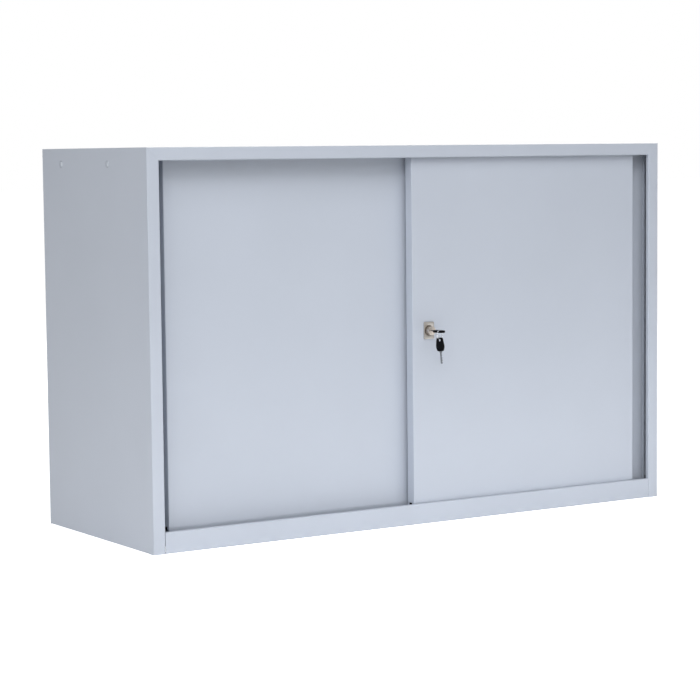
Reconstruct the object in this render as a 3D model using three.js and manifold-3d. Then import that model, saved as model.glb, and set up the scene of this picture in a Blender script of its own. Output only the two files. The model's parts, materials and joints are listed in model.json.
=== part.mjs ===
// Steel cabinet with two sliding doors, a push lock and a pair of keys.
// Millimetres, +X to the right as seen from the front, +Y into the cabinet, +Z up.
// Origin: the floor, under the middle of the carcass.
// Depths are measured back from the front plane, and the last group moves the
// front plane to its place.

import * as THREE from 'three';
import { mergeVertices } from 'three/addons/utils/BufferGeometryUtils.js';
import Module from 'manifold-3d';

const wasm = await Module();
wasm.setup();

// Carcass: the folded steel box
const cabinetWidth = 1200;
const cabinetHeight = 745;
const cabinetDepth = 445;
const sheet = 1;
const backSheet = 0.8;
const bendRadius = 1.2;
const seam = 0.2;
const sideFlange = 25;
const topFlange = 24;
const lipDepth = 8.7;
const sideRearFlange = 15;
const sideFootReturn = 15;
const sideFootStart = 18;
const topEndFlange = 40;
const topRearFlange = 30;
const relief = 12;
const cornerGap = 0.5;

// Plinth, floor and the trough that the door tracks lie in
const sillHeight = 40;
const sillFoot = 16;
const ledgeDepth = 10;
const bedHeight = 14;
const troughBack = 76;
const stiffenerCrown = 60;
const stiffenerFoot = 18;
const stiffenerInset = 20;

// Stamped dimples in the sides, with the rivets that hold the top panel
const dimpleDrop = 30;
const dimpleDepths = [160, 360];
const dimpleRadius = 7.75;
const dimpleFloorRadius = 5.8;
const dimpleDepth = 2.6;
const rivetHeadRadius = 5.3;
const rivetHeadHeight = 2;
const rivetShankRadius = 2.3;
const rivetTailRadius = 3.8;
const rivetTailHeight = 3.4;
const rivetHeadShares = [[0, 1], [0.5, 0.9], [1, 0.3], [1, 0]];
const rivetTailShare = 0.6;
const rivetClearance = 0.2;

// Doors: shallow pans with a finger recess at their outer edge
const doorSheet = 0.8;
const doorThickness = 22;
const doorSetback = 14;
const doorGap = 9;
const doorOverlap = 28;
const doorSideGap = 10;
const doorBottom = 34.5;
const doorTopGap = 18;
const gripWidth = 45;
const gripLip = 6;
const doorBackLip = 18;
const doorCapFace = 7.2;
const doorCapLip = 12;
const doorBend = 0.8;
const hatWidth = 56;
const hatFoot = 14;
const hatDepth = 18;
const hatEndGap = 24;
const notchHeight = 6;

// Rollers on the bottom rails
const railWidth = 3;
const railFootWidth = 12;
const railFootHeight = 2;
const railEndGap = 1;
const wheelRadius = 12;
const wheelTread = 9;
const wheelWidth = 8;
const wheelGroove = 4.6;
const wheelCentre = 35;
const wheelChamfer = 0.8;
const wheelRunningGap = 0.6;
const axleRadius = 2.5;
const axleClearance = 0.1;
const carriageLength = 60;
const carriageHeight = 30;
const carriageWidth = 15;
const carriageNose = 7;
const carriageCorner = 4;
const carriageEndGap = 2;
const carriageTabWidth = 9;
const carriageTabProud = 0.6;
const windowGap = 1.5;

// Guides in the top track
const guideTrackWall = 1.5;
const guideChannel = 12;
const guideTrackDrop = 13;
const guideTongue = 10;
const guideFoot = 16;
const guideFootHeight = 9;
const guideLength = 40;
const guideTopGap = 2.5;
const guideTipChamfer = 1.6;
const guideInset = 30;

// Rubber buffers where the doors stop
const bufferHeight = 9;
const bufferDepth = 12;
const bufferCorner = 2;
const bufferBottom = 33.5;
const bufferGap = 0.3;

// Shelf, its slotted uprights and its clips
const shelfSheet = 1;
const shelfFlange = 25;
const shelfLip = 12;
const shelfFrontGap = 4;
const shelfRearGap = 6;
const shelfEndGap = 3;
const uprightWidth = 26;
const uprightDepth = 10;
const uprightSheet = 1.2;
const uprightEndGap = 4;
const uprightTopGap = 46;
const uprightInsets = [48, 40];
const slotPitch = 25;
const slotWidth = 16;
const slotHeight = 3.4;
const slotStart = 22;
const shelfSlot = 12;
const clipSheet = 1.5;
const clipWidth = 14;
const clipRise = 10;
const clipLedge = 14;
const clipHook = 7;
const clipBend = 0.5;

// Push lock on the front door
const lockInset = 38;
const lockHeight = 381.3;
const plateWidth = 23.5;
const plateHeight = 34;
const plateThickness = 2.4;
const plateCorner = 2.5;
const plateBevel = 0.5;
const plateSinkRadius = 10.3;
const plateSinkDepth = 1.4;
const neckRadius = 11;
const neckRearWall = 1.2;
const neckRearGap = 0.4;
const holeClearance = 0.3;
const nutAcross = 27;
const nutThickness = 4;
const plungerRadius = 8.75;
const plungerClearance = 0.3;
const plungerProud = 10;
const plungerHeadLength = 12.5;
const plungerWaistRadius = 6.75;
const plungerWaistLength = 7.4;
const plungerChamfer = 0.8;
const boltRadius = 4;
const boltReach = 31.5;
const boltClearance = 0.3;
const coreRadius = 5.5;
const coreClearance = 0.2;
const coreLength = 19;
const coreProud = 0.4;
const coreEndGap = 0.5;
const springWire = 0.8;
const springTurns = 4;
const springEndGap = 0.4;
const springSteps = 10;
const springSides = 6;
const keeperSheet = 1.5;
const keeperHeight = 24;
const keeperBase = 22;
const keeperReach = 7;

// Keys and ring
const bladeLength = 24.5;
const bladeWidth = 3.8;
const bladeThickness = 1.6;
const bladeTang = 9;
const bladeShoulderWidth = 5.4;
const bladeShoulderLength = 2.4;
const bladeTip = 1.2;
const bladeCutDepths = [0.9, 0.55, 0.9, 0.55];
const bladeCutShares = [0.25, 0.5, 0.7, 0.95];
const keyClearance = 0.3;
const keyStandOff = 9.6;
const bowLength = 27;
const bowRootWidth = 13;
const bowWidth = 18;
const bowWidthAt = 9;
const bowEndWidth = 12.5;
const bowThickness = 3.6;
const bowCorner = 3;
const bowBevel = 0.7;
const bowHoleRadius = 2.6;
const bowHoleInset = 5;
const bowSocketGap = 0.1;
const bowSteps = 4;
const ringRadius = 9;
const ringWire = 0.6;
const ringAside = 6.5;
const ringBelow = 5.5;
const ringYawDegrees = 22;
const spareHang = 1.5;
const spareYawDegrees = -64;
const spareLeanDegrees = 5.5;

// Facets and the one overrun that every cut uses
const bendSteps = 3;
const ringFacets = 28;
const ringSides = 6;
const roundFacets = 20;
const smallFacets = 14;
const cornerSteps = 2;
const overrun = 2;

// Materials
const finish = (color, roughness, metalness) =>
  new THREE.MeshStandardMaterial({ color, roughness, metalness });
const powderCoat = finish('#c3cad4', 0.55, 0);
const zincSteel = finish('#b4b6b8', 0.4, 0.9);
const aluminium = finish('#c9cbce', 0.35, 0.9);
const blackPlastic = finish('#14161a', 0.5, 0);
const nylon = finish('#e8e8e2', 0.5, 0);
const rubber = finish('#1c1c1e', 0.85, 0);
const nickel = finish('#b9b2a8', 0.25, 1);
const keySteel = finish('#8f9298', 0.3, 1);

// Places that several pieces share
const innerWall = cabinetWidth / 2 - sheet;
const panelRear = cabinetDepth - sheet - backSheet - 2 * seam;
const panelEnd = innerWall - seam;
const bendZone = sheet + 2 * bendRadius;
const frontDoorFace = doorSetback;
const rearDoorFace = doorSetback + doorThickness + doorGap;
const doorTop = cabinetHeight - doorTopGap;
const doorReach = innerWall - doorSideGap;
const doorWidth = doorReach + doorOverlap / 2;
const faceWidth = doorWidth - gripWidth;
const runningLine = doorThickness / 2;
const railTop = wheelCentre - wheelTread - seam;
const guideCeiling = cabinetHeight - sheet - seam;
const shelfFront = troughBack + sheet + shelfFrontGap;
const shelfRear = panelRear - sheet - shelfRearGap;
const uprightFace = innerWall - seam - uprightDepth;
const uprightBase = sillHeight + uprightEndGap;
const slotLevel = (index) => uprightBase + slotStart + index * slotPitch;
const clipLedgeTop = slotLevel(shelfSlot) + clipRise;
const shelfTop = clipLedgeTop + seam + shelfFlange;
const lockX = lockInset - doorOverlap / 2;
const plateBack = doorSetback - seam;
const plateFront = plateBack - plateThickness;
const plungerFront = plateFront - plungerProud;
const coreFront = plungerFront - coreProud;
const plungerShoulder = plungerFront + plungerHeadLength;
const neckRear = doorSetback + doorThickness - neckRearGap;
const neckFloor = neckRear - neckRearWall;
const bowRoot = coreFront - keyStandOff;
const holeY = bowLength - bowHoleInset;

// A closed solid from a geometry, turned to face out, without its zero-area faces
function solid(geometry) {
  geometry.deleteAttribute('normal');
  geometry.deleteAttribute('uv');
  const merged = mergeVertices(geometry);
  const places = merged.attributes.position.array;
  const corner = (i) => new THREE.Vector3().fromArray(places, 3 * i);
  const faces = [];
  let volume = 0;
  for (let i = 0; i < merged.index.count; i += 3) {
    const [a, b, c] = [0, 1, 2].map((k) => merged.index.getX(i + k));
    if (a === b || b === c || c === a) continue;
    faces.push([a, b, c]);
    volume += corner(a).dot(corner(b).cross(corner(c)));
  }
  const triVerts = Uint32Array.from(
    faces.flatMap(([a, b, c]) => (volume < 0 ? [a, c, b] : [a, b, c])),
  );
  const vertProperties = Float32Array.from(places);
  return new wasm.Manifold(new wasm.Mesh({ numProp: 3, vertProperties, triVerts }));
}

// A named mesh from a solid
function piece(name, body, material) {
  const { vertProperties, triVerts } = body.getMesh();
  const geometry = new THREE.BufferGeometry();
  geometry.setAttribute('position', new THREE.BufferAttribute(vertProperties, 3));
  geometry.setIndex(new THREE.BufferAttribute(triVerts, 1));
  geometry.computeVertexNormals();
  const mesh = new THREE.Mesh(geometry, material);
  mesh.name = name;
  return mesh;
}

const join = (first, ...others) => others.reduce((sum, other) => sum.add(other), first);
const cut = (first, ...tools) => tools.reduce((rest, tool) => rest.subtract(tool), first);

// An outline pushed along Z, X or Y. On X the outline is drawn in depth and height,
// on Y in width and height
const axes = ['X', 'Y', 'Z'].map((_, i) => new THREE.Vector3().setComponent(i, 1));
const turnToX = new THREE.Matrix4().makeBasis(axes[1], axes[2], axes[0]);
const turnToY = new THREE.Matrix4().makeBasis(axes[0], axes[2], axes[1].clone().negate());

function push(shape, length, bevel = 0, curveSegments = cornerSteps) {
  return new THREE.ExtrudeGeometry(shape, {
    depth: length - 2 * bevel,
    bevelEnabled: bevel > 0,
    bevelSize: bevel,
    bevelOffset: -bevel,
    bevelThickness: bevel,
    bevelSegments: 1,
    curveSegments,
  }).translate(0, 0, bevel);
}

const pushZ = (shape, from, to) => solid(push(shape, to - from).translate(0, 0, from));
const pushX = (shape, from, to) =>
  solid(push(shape, to - from).applyMatrix4(turnToX).translate(from, 0, 0));
const pushY = (shape, from, to) =>
  solid(push(shape, to - from).applyMatrix4(turnToY).translate(0, to, 0));

// A block between two corners given in any order
function block([x0, y0, z0], [x1, y1, z1]) {
  const size = [x1 - x0, y1 - y0, z1 - z0].map(Math.abs);
  const middle = [x0 + x1, y0 + y1, z0 + z1].map((sum) => sum / 2);
  return solid(new THREE.BoxGeometry(...size).translate(...middle));
}

// A round bar or cone along an axis, from one place to another on it
function bar(axis, from, to, radiusFrom, radiusTo = radiusFrom, facets = roundFacets) {
  const [low, high] = from < to ? [from, to] : [to, from];
  const [lowRadius, highRadius] = from < to ? [radiusFrom, radiusTo] : [radiusTo, radiusFrom];
  const geometry = new THREE.CylinderGeometry(highRadius, lowRadius, high - low, facets);
  geometry.translate(0, (low + high) / 2, 0);
  if (axis === 'x') geometry.rotateZ(-Math.PI / 2);
  if (axis === 'z') geometry.rotateX(Math.PI / 2);
  return geometry;
}

// A turned piece about the depth axis, from a profile of radius and depth
const turned = (profile, facets = roundFacets) =>
  solid(new THREE.LatheGeometry(profile.map(([r, y]) => new THREE.Vector2(r, y)), facets));

// The cross-section of a folded sheet: a mid-line with rounded bends, given a thickness
function fold(path, thickness, radius) {
  const points = path.map(([u, v]) => new THREE.Vector2(u, v));
  const bend = radius + thickness / 2;
  const near = [];
  const far = [];
  const add = (point, direction) => {
    const side = new THREE.Vector2(-direction.y, direction.x).multiplyScalar(thickness / 2);
    near.push(point.clone().add(side));
    far.unshift(point.clone().sub(side));
  };
  const heading = (i) => points[i + 1].clone().sub(points[i]).normalize();
  add(points[0], heading(0));
  for (let i = 1; i < points.length - 1; i += 1) {
    const before = heading(i - 1);
    const after = heading(i);
    const turn = Math.atan2(before.cross(after), before.dot(after));
    const reach = bend * Math.tan(Math.abs(turn) / 2);
    const start = points[i].clone().addScaledVector(before, -reach);
    const inward = new THREE.Vector2(-before.y, before.x).multiplyScalar(Math.sign(turn));
    const centre = start.clone().addScaledVector(inward, bend);
    for (let k = 0; k <= bendSteps; k += 1) {
      const angle = (turn * k) / bendSteps;
      const direction = before.clone().rotateAround(new THREE.Vector2(), angle);
      add(start.clone().rotateAround(centre, angle), direction);
    }
  }
  add(points.at(-1), heading(points.length - 2));
  return new THREE.Shape([...near, ...far]);
}

// A rectangle with round corners, centred
function roundedRectangle(width, height, corner) {
  const [x, y] = [width / 2, height / 2];
  const shape = new THREE.Shape();
  shape.moveTo(-x + corner, -y);
  shape.lineTo(x - corner, -y);
  shape.absarc(x - corner, -y + corner, corner, -Math.PI / 2, 0);
  shape.lineTo(x, y - corner);
  shape.absarc(x - corner, y - corner, corner, 0, Math.PI / 2);
  shape.lineTo(-x + corner, y);
  shape.absarc(-x + corner, y - corner, corner, Math.PI / 2, Math.PI);
  shape.lineTo(-x, -y + corner);
  shape.absarc(-x + corner, -y + corner, corner, Math.PI, 1.5 * Math.PI);
  return shape;
}

// A stamped dimple in a sheet whose outer face lies the given distance inside the
// cabinet's side
function dimpled(body, hand, face) {
  const slope = (dimpleRadius - dimpleFloorRadius) / dimpleDepth;
  const cone = (start, from, to) =>
    bar(
      'x',
      hand * (cabinetWidth / 2 - from),
      hand * (cabinetWidth / 2 - to),
      dimpleRadius - slope * (from - start),
      dimpleRadius - slope * (to - start),
      smallFacets,
    );
  const place = (geometry, depth) =>
    solid(geometry.translate(0, depth, cabinetHeight - dimpleDrop));
  const hole = () =>
    bar(
      'x',
      hand * (cabinetWidth / 2 + overrun),
      hand * (cabinetWidth / 2 - face - dimpleDepth - sheet - overrun),
      rivetShankRadius + rivetClearance,
      rivetShankRadius + rivetClearance,
      smallFacets,
    );
  return dimpleDepths.reduce((rest, depth) => {
    const inner = face + sheet;
    const boss = place(cone(inner, face + sheet / 2, inner + dimpleDepth), depth);
    const hollow = place(cone(face, face - overrun, face + dimpleDepth), depth);
    return rest.add(boss).subtract(hollow).subtract(place(hole(), depth));
  }, body);
}

// The plane of the mitre between the side flange and the top flange, as a cutter on
// one side of it
function mitreCutter(hand, above) {
  const outer = cabinetWidth / 2 - (above ? sheet / 2 : -overrun);
  const inner = cabinetWidth / 2 - sideFlange - overrun;
  const slope = topFlange / sideFlange;
  const level = (x) => cabinetHeight - (cabinetWidth / 2 - x) * slope;
  const gap = above ? -seam / 2 : seam / 2;
  const end = above ? cabinetHeight + overrun : cabinetHeight - topEndFlange - overrun;
  const innerEnd = above ? inner : cabinetWidth / 2 - sideFlange;
  const points = [
    [outer, level(outer) + gap],
    [innerEnd, level(innerEnd) + gap],
    [innerEnd, end],
    [outer, end],
  ].map(([x, z]) => new THREE.Vector2(hand * x, z));
  return pushY(new THREE.Shape(points), -overrun, lipDepth + overrun / 2);
}

function sidePanel(name, hand) {
  const at = (inset, depth) => [hand * (cabinetWidth / 2 - inset), depth];
  const wall = fold(
    [
      at(sideFlange - sheet / 2, lipDepth),
      at(sideFlange - sheet / 2, sheet / 2),
      at(sheet / 2, sheet / 2),
      at(sheet / 2, cabinetDepth - sheet / 2),
      at(sideRearFlange, cabinetDepth - sheet / 2),
    ],
    sheet,
    bendRadius,
  );
  const footEnd = panelRear - sheet - bendZone;
  const foot = fold(
    [
      at(sheet / 2, 2 * bendZone),
      at(sheet / 2, sheet / 2),
      at(sideFootReturn, sheet / 2),
    ],
    sheet,
    bendRadius,
  );
  const footCut = block(
    [...at(-overrun, sideFootStart), -overrun],
    [...at(sheet + overrun, footEnd), bendZone],
  );
  const body = join(
    cut(pushZ(wall, 0, cabinetHeight), footCut, mitreCutter(hand, true)),
    pushY(foot, sideFootStart + cornerGap, footEnd - cornerGap),
  );
  return piece(name, dimpled(body, hand, 0), powderCoat);
}

function topPanel() {
  const section = fold(
    [
      [lipDepth, cabinetHeight - topFlange + sheet / 2],
      [sheet / 2, cabinetHeight - topFlange + sheet / 2],
      [sheet / 2, cabinetHeight - sheet / 2],
      [panelRear - sheet / 2, cabinetHeight - sheet / 2],
      [panelRear - sheet / 2, cabinetHeight - topRearFlange],
    ],
    sheet,
    bendRadius,
  );
  const flangeEnd = panelRear - bendZone;
  let body = pushX(section, -panelEnd, panelEnd);
  for (const hand of [-1, 1]) {
    const endFlange = fold(
      [
        [hand * (panelEnd - 2 * bendZone), cabinetHeight - sheet / 2],
        [hand * (panelEnd - sheet / 2), cabinetHeight - sheet / 2],
        [hand * (panelEnd - sheet / 2), cabinetHeight - topEndFlange],
      ],
      sheet,
      bendRadius,
    );
    const edge = block(
      [hand * (panelEnd - bendZone), relief, cabinetHeight - sheet - overrun],
      [hand * (panelEnd + overrun), flangeEnd, cabinetHeight + overrun],
    );
    body = cut(body, edge, mitreCutter(hand, false));
    body = join(body, pushY(endFlange, relief + cornerGap, flangeEnd - cornerGap));
    body = dimpled(body, hand, sheet + seam);
  }
  return piece('top_panel', body, powderCoat);
}

function bottomPanel() {
  const section = fold(
    [
      [sillFoot, sheet / 2],
      [sheet / 2, sheet / 2],
      [sheet / 2, sillHeight - sheet / 2],
      [ledgeDepth - sheet / 2, sillHeight - sheet / 2],
      [ledgeDepth - sheet / 2, bedHeight - sheet / 2],
      [troughBack + sheet / 2, bedHeight - sheet / 2],
      [troughBack + sheet / 2, sillHeight - sheet / 2],
      [panelRear - sheet / 2, sillHeight - sheet / 2],
      [panelRear - sheet / 2, 0],
    ],
    sheet,
    bendRadius,
  );
  const corners = [-1, 1].map((hand) =>
    block(
      [hand * (cabinetWidth / 2 - sideFlange - seam), -overrun, -overrun],
      [hand * cabinetWidth, lipDepth + seam, sillHeight + overrun],
    ),
  );
  return piece('bottom_panel', cut(pushX(section, -panelEnd, panelEnd), ...corners), powderCoat);
}

function backPanel() {
  const end = innerWall - bendRadius - seam;
  const body = block(
    [-end, cabinetDepth - sheet - seam - backSheet, 0],
    [end, cabinetDepth - sheet - seam, cabinetHeight],
  );
  return piece('back_panel', body, powderCoat);
}

function floorStiffener() {
  const top = sillHeight - sheet - seam;
  const middle = cabinetDepth / 2;
  const web = stiffenerCrown / 2 - sheet / 2;
  const section = fold(
    [
      [middle - web - stiffenerFoot, top - sheet / 2],
      [middle - web, top - sheet / 2],
      [middle - web, sheet / 2],
      [middle + web, sheet / 2],
      [middle + web, top - sheet / 2],
      [middle + web + stiffenerFoot, top - sheet / 2],
    ],
    sheet,
    bendRadius,
  );
  const end = innerWall - stiffenerInset;
  return piece('floor_stiffener', pushX(section, -end, end), powderCoat);
}

// A rail under one door: a narrow flat foot with a round-topped rib
function bottomRail(name, centre) {
  const base = bedHeight + seam;
  const foot = base + railFootHeight;
  const shape = new THREE.Shape();
  shape.moveTo(centre - railFootWidth / 2, base);
  shape.lineTo(centre + railFootWidth / 2, base);
  shape.lineTo(centre + railFootWidth / 2, foot);
  shape.lineTo(centre + railWidth / 2, foot);
  shape.lineTo(centre + railWidth / 2, railTop - railWidth / 2);
  shape.absarc(centre, railTop - railWidth / 2, railWidth / 2, 0, Math.PI);
  shape.lineTo(centre - railWidth / 2, foot);
  shape.lineTo(centre - railFootWidth / 2, foot);
  const end = innerWall - railEndGap;
  const geometry = push(shape, 2 * end).applyMatrix4(turnToX).translate(-end, 0, 0);
  return piece(name, solid(geometry), aluminium);
}

// The top track: two channels side by side, open below
function topTrack() {
  const low = guideCeiling - guideTrackDrop;
  const shape = new THREE.Shape();
  const centres = [rearDoorFace + runningLine, frontDoorFace + runningLine];
  const half = guideChannel / 2;
  shape.moveTo(centres[1] - half - guideTrackWall, guideCeiling);
  shape.lineTo(centres[1] - half - guideTrackWall, low);
  for (const centre of [...centres].reverse()) {
    shape.lineTo(centre - half, low);
    shape.lineTo(centre - half, guideCeiling - guideTrackWall);
    shape.lineTo(centre + half, guideCeiling - guideTrackWall);
    shape.lineTo(centre + half, low);
    shape.lineTo(centre + half + guideTrackWall, low);
    if (centre !== centres[0]) {
      shape.lineTo(centre + half + guideTrackWall, guideCeiling - guideTrackWall);
      shape.lineTo(centres[0] - half - guideTrackWall, guideCeiling - guideTrackWall);
      shape.lineTo(centres[0] - half - guideTrackWall, low);
    }
  }
  shape.lineTo(centres[0] + half + guideTrackWall, guideCeiling);
  const end = panelEnd - bendZone;
  return piece('top_track', pushX(shape, -end, end), aluminium);
}

function shelf() {
  const [left, right] = [-(uprightFace - shelfEndGap), uprightFace - shelfEndGap];
  const section = fold(
    [
      [shelfFront + shelfLip, shelfTop - shelfFlange + shelfSheet / 2],
      [shelfFront + shelfSheet / 2, shelfTop - shelfFlange + shelfSheet / 2],
      [shelfFront + shelfSheet / 2, shelfTop - shelfSheet / 2],
      [shelfRear - shelfSheet / 2, shelfTop - shelfSheet / 2],
      [shelfRear - shelfSheet / 2, shelfTop - shelfFlange + shelfSheet / 2],
      [shelfRear - shelfLip, shelfTop - shelfFlange + shelfSheet / 2],
    ],
    shelfSheet,
    bendRadius,
  );
  let body = pushX(section, left, right);
  const [from, to] = [shelfFront + bendZone, shelfRear - bendZone];
  for (const end of [left, right]) {
    const hand = Math.sign(end);
    const endFlange = fold(
      [
        [end - hand * 2 * bendZone, shelfTop - shelfSheet / 2],
        [end - (hand * shelfSheet) / 2, shelfTop - shelfSheet / 2],
        [end - (hand * shelfSheet) / 2, shelfTop - shelfFlange],
      ],
      shelfSheet,
      bendRadius,
    );
    const edge = block(
      [end - hand * bendZone, from, shelfTop - shelfSheet - overrun],
      [end + hand * overrun, to, shelfTop + overrun],
    );
    const lips = block(
      [end - hand * shelfLip, shelfFront + bendZone, shelfTop - shelfFlange - overrun],
      [end + hand * overrun, shelfRear - bendZone, shelfTop - shelfFlange + bendZone],
    );
    body = join(cut(body, edge, lips), pushY(endFlange, from + cornerGap, to - cornerGap));
  }
  return piece('shelf', body, powderCoat);
}

const uprightPlaces = [
  ['front', shelfFront + uprightInsets[0]],
  ['rear', shelfRear - uprightInsets[1]],
];

// A slotted upright: a shallow channel, open towards the side panel
function upright(name, hand, depth) {
  const [wall, face] = [innerWall - seam, uprightFace];
  const half = (uprightWidth - uprightSheet) / 2;
  const section = fold(
    [
      [hand * wall, depth - half],
      [hand * (face + uprightSheet / 2), depth - half],
      [hand * (face + uprightSheet / 2), depth + half],
      [hand * wall, depth + half],
    ],
    uprightSheet,
    bendRadius,
  );
  const top = cabinetHeight - uprightTopGap;
  const slots = [];
  for (let i = 0; slotLevel(i) + slotHeight < top - slotStart / 2; i += 1) {
    slots.push(
      block(
        [hand * (face - overrun), depth - slotWidth / 2, slotLevel(i)],
        [hand * (face + uprightSheet + overrun), depth + slotWidth / 2, slotLevel(i) + slotHeight],
      ),
    );
  }
  return piece(name, cut(pushZ(section, uprightBase, top), ...slots), powderCoat);
}

// A clip: its hook goes through a slot and down, its ledge carries the shelf
function shelfClip(name, hand, depth) {
  const level = slotLevel(shelfSlot) + seam + clipSheet / 2;
  const inside = uprightFace + uprightSheet + seam + clipSheet / 2;
  const outside = uprightFace - seam - clipSheet / 2;
  const section = fold(
    [
      [hand * inside, level - clipHook],
      [hand * inside, level],
      [hand * outside, level],
      [hand * outside, clipLedgeTop - clipSheet / 2],
      [hand * (outside - clipLedge), clipLedgeTop - clipSheet / 2],
    ],
    clipSheet,
    clipBend,
  );
  return piece(name, pushY(section, depth - clipWidth / 2, depth + clipWidth / 2), zincSteel);
}

// A rivet through both dimples: its dome sits in the outer one
function sideRivet(name, hand, depth) {
  const seat = dimpleDepth - seam;
  const tail = sheet + seam + dimpleDepth + sheet + seam;
  const head = rivetHeadShares.map(([r, h]) => [
    r * rivetHeadRadius,
    seat - h * rivetHeadHeight,
  ]);
  const profile = [
    ...head,
    [rivetShankRadius, seat],
    [rivetShankRadius, tail],
    [rivetTailRadius, tail],
    [rivetTailRadius, tail + rivetTailShare * rivetTailHeight],
    [rivetShankRadius, tail + rivetTailHeight],
    [0, tail + rivetTailHeight],
  ].map(([r, inset]) => new THREE.Vector2(r, inset));
  const geometry = new THREE.LatheGeometry(profile, smallFacets);
  geometry.rotateZ((hand * Math.PI) / 2);
  geometry.translate((hand * cabinetWidth) / 2, depth, cabinetHeight - dimpleDrop);
  return piece(name, solid(geometry), powderCoat);
}

// A rubber buffer on the side panel, in line with one door
function doorBuffer(name, hand, doorFace) {
  const shape = roundedRectangle(bufferDepth, bufferHeight, bufferCorner);
  const [from, to] = [doorReach + carriageTabProud + bufferGap, innerWall];
  const geometry = push(shape, to - from).applyMatrix4(turnToX);
  const depth = doorFace + doorThickness - bufferDepth / 2 - doorSheet;
  geometry.translate(hand > 0 ? from : -to, depth, bufferBottom + bufferHeight / 2);
  return piece(name, solid(geometry), rubber);
}

// A door's pieces. Widths run from its plain edge, in the middle of the cabinet, to
// its grip at the side
function doorPieces(prefix, hand, face) {
  const across = (width) => hand * (width - doorOverlap / 2);
  const back = face + doorThickness;
  const middle = face + runningLine;
  const [lowEdge, highEdge] = [doorBottom, doorTop];
  const step = doorSheet + 2 * doorBend;

  const pan = fold(
    [
      [across(doorBackLip), back - doorSheet / 2],
      [across(doorSheet / 2), back - doorSheet / 2],
      [across(doorSheet / 2), face + doorSheet / 2],
      [across(faceWidth - doorSheet / 2), face + doorSheet / 2],
      [across(faceWidth - doorSheet / 2), back - doorSheet / 2],
      [across(doorWidth - doorSheet / 2), back - doorSheet / 2],
      [across(doorWidth - doorSheet / 2), back - gripLip],
    ],
    doorSheet,
    doorBend,
  );
  const cap = (edge, inward) =>
    fold(
      [
        [face + doorSheet / 2, edge + inward * doorCapFace],
        [face + doorSheet / 2, edge + (inward * doorSheet) / 2],
        [back - doorSheet / 2, edge + (inward * doorSheet) / 2],
        [back - doorSheet / 2, edge + inward * doorCapLip],
      ],
      doorSheet,
      doorBend,
    );
  const ends = [across(doorBend), across(faceWidth - doorBend)].sort((a, b) => a - b);
  let body = join(
    pushZ(pan, lowEdge + step, highEdge - step),
    pushX(cap(lowEdge, 1), ...ends),
    pushX(cap(highEdge, -1), ...ends),
  );

  const carriages = [
    ['inner', doorSheet + carriageEndGap, 0, -1],
    ['outer', faceWidth - doorSheet - carriageEndGap - carriageLength, faceWidth, 1],
  ];
  const guides = [guideInset, faceWidth - guideInset - guideLength];

  for (const [, start, wall] of carriages) {
    const centre = across(start + carriageLength / 2);
    const reach = wheelRadius + windowGap;
    const side = (carriageWidth + windowGap) / 2;
    body = cut(
      body,
      block(
        [centre - reach, middle - side, lowEdge - overrun],
        [centre + reach, middle + side, lowEdge + step],
      ),
      block(
        [across(wall - overrun), middle - carriageTabWidth / 2 - seam, lowEdge - overrun],
        [across(wall + overrun), middle + carriageTabWidth / 2 + seam, lowEdge + notchHeight],
      ),
    );
  }
  for (const start of guides) {
    body = cut(
      body,
      block(
        [across(start - seam), middle - guideTongue / 2 - seam, highEdge - step],
        [across(start + guideLength + seam), middle + guideTongue / 2 + seam, highEdge + overrun],
      ),
    );
  }
  if (hand > 0) {
    const bore = bar('y', face - overrun, face + step, neckRadius + holeClearance);
    body = cut(body, solid(bore.translate(lockX, 0, lockHeight)));
  }

  const pieces = [piece(`${prefix}_panel`, body, powderCoat)];

  // The hat-section stiffener behind the skin
  const skin = face + doorSheet + seam;
  const hatMiddle = faceWidth / 2;
  const crown = skin + hatDepth - doorSheet / 2;
  const web = hatWidth / 2 - doorSheet / 2;
  const hat = fold(
    [
      [across(hatMiddle - web - hatFoot), skin + doorSheet / 2],
      [across(hatMiddle - web), skin + doorSheet / 2],
      [across(hatMiddle - web), crown],
      [across(hatMiddle + web), crown],
      [across(hatMiddle + web), skin + doorSheet / 2],
      [across(hatMiddle + web + hatFoot), skin + doorSheet / 2],
    ],
    doorSheet,
    doorBend,
  );
  const hatBody = pushZ(hat, lowEdge + hatEndGap, highEdge - hatEndGap);
  pieces.push(piece(`${prefix}_stiffener`, hatBody, powderCoat));

  for (const [end, start, wall, way] of carriages) {
    const centre = across(start + carriageLength / 2);
    pieces.push(carriage(`${prefix}_carriage_${end}`, across, start, wall, way, middle));
    const half = carriageWidth / 2;
    const axle = bar('y', middle - half, middle + half, axleRadius, axleRadius, roundFacets);
    axle.translate(centre, 0, wheelCentre);
    pieces.push(piece(`${prefix}_axle_${end}`, solid(axle), zincSteel));
    pieces.push(wheel(`${prefix}_wheel_${end}`, centre, middle));
  }
  guides.forEach((start, i) => {
    const name = `${prefix}_guide_${i === 0 ? 'inner' : 'outer'}`;
    pieces.push(topGuide(name, across, start, middle));
  });
  return pieces;
}

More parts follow.
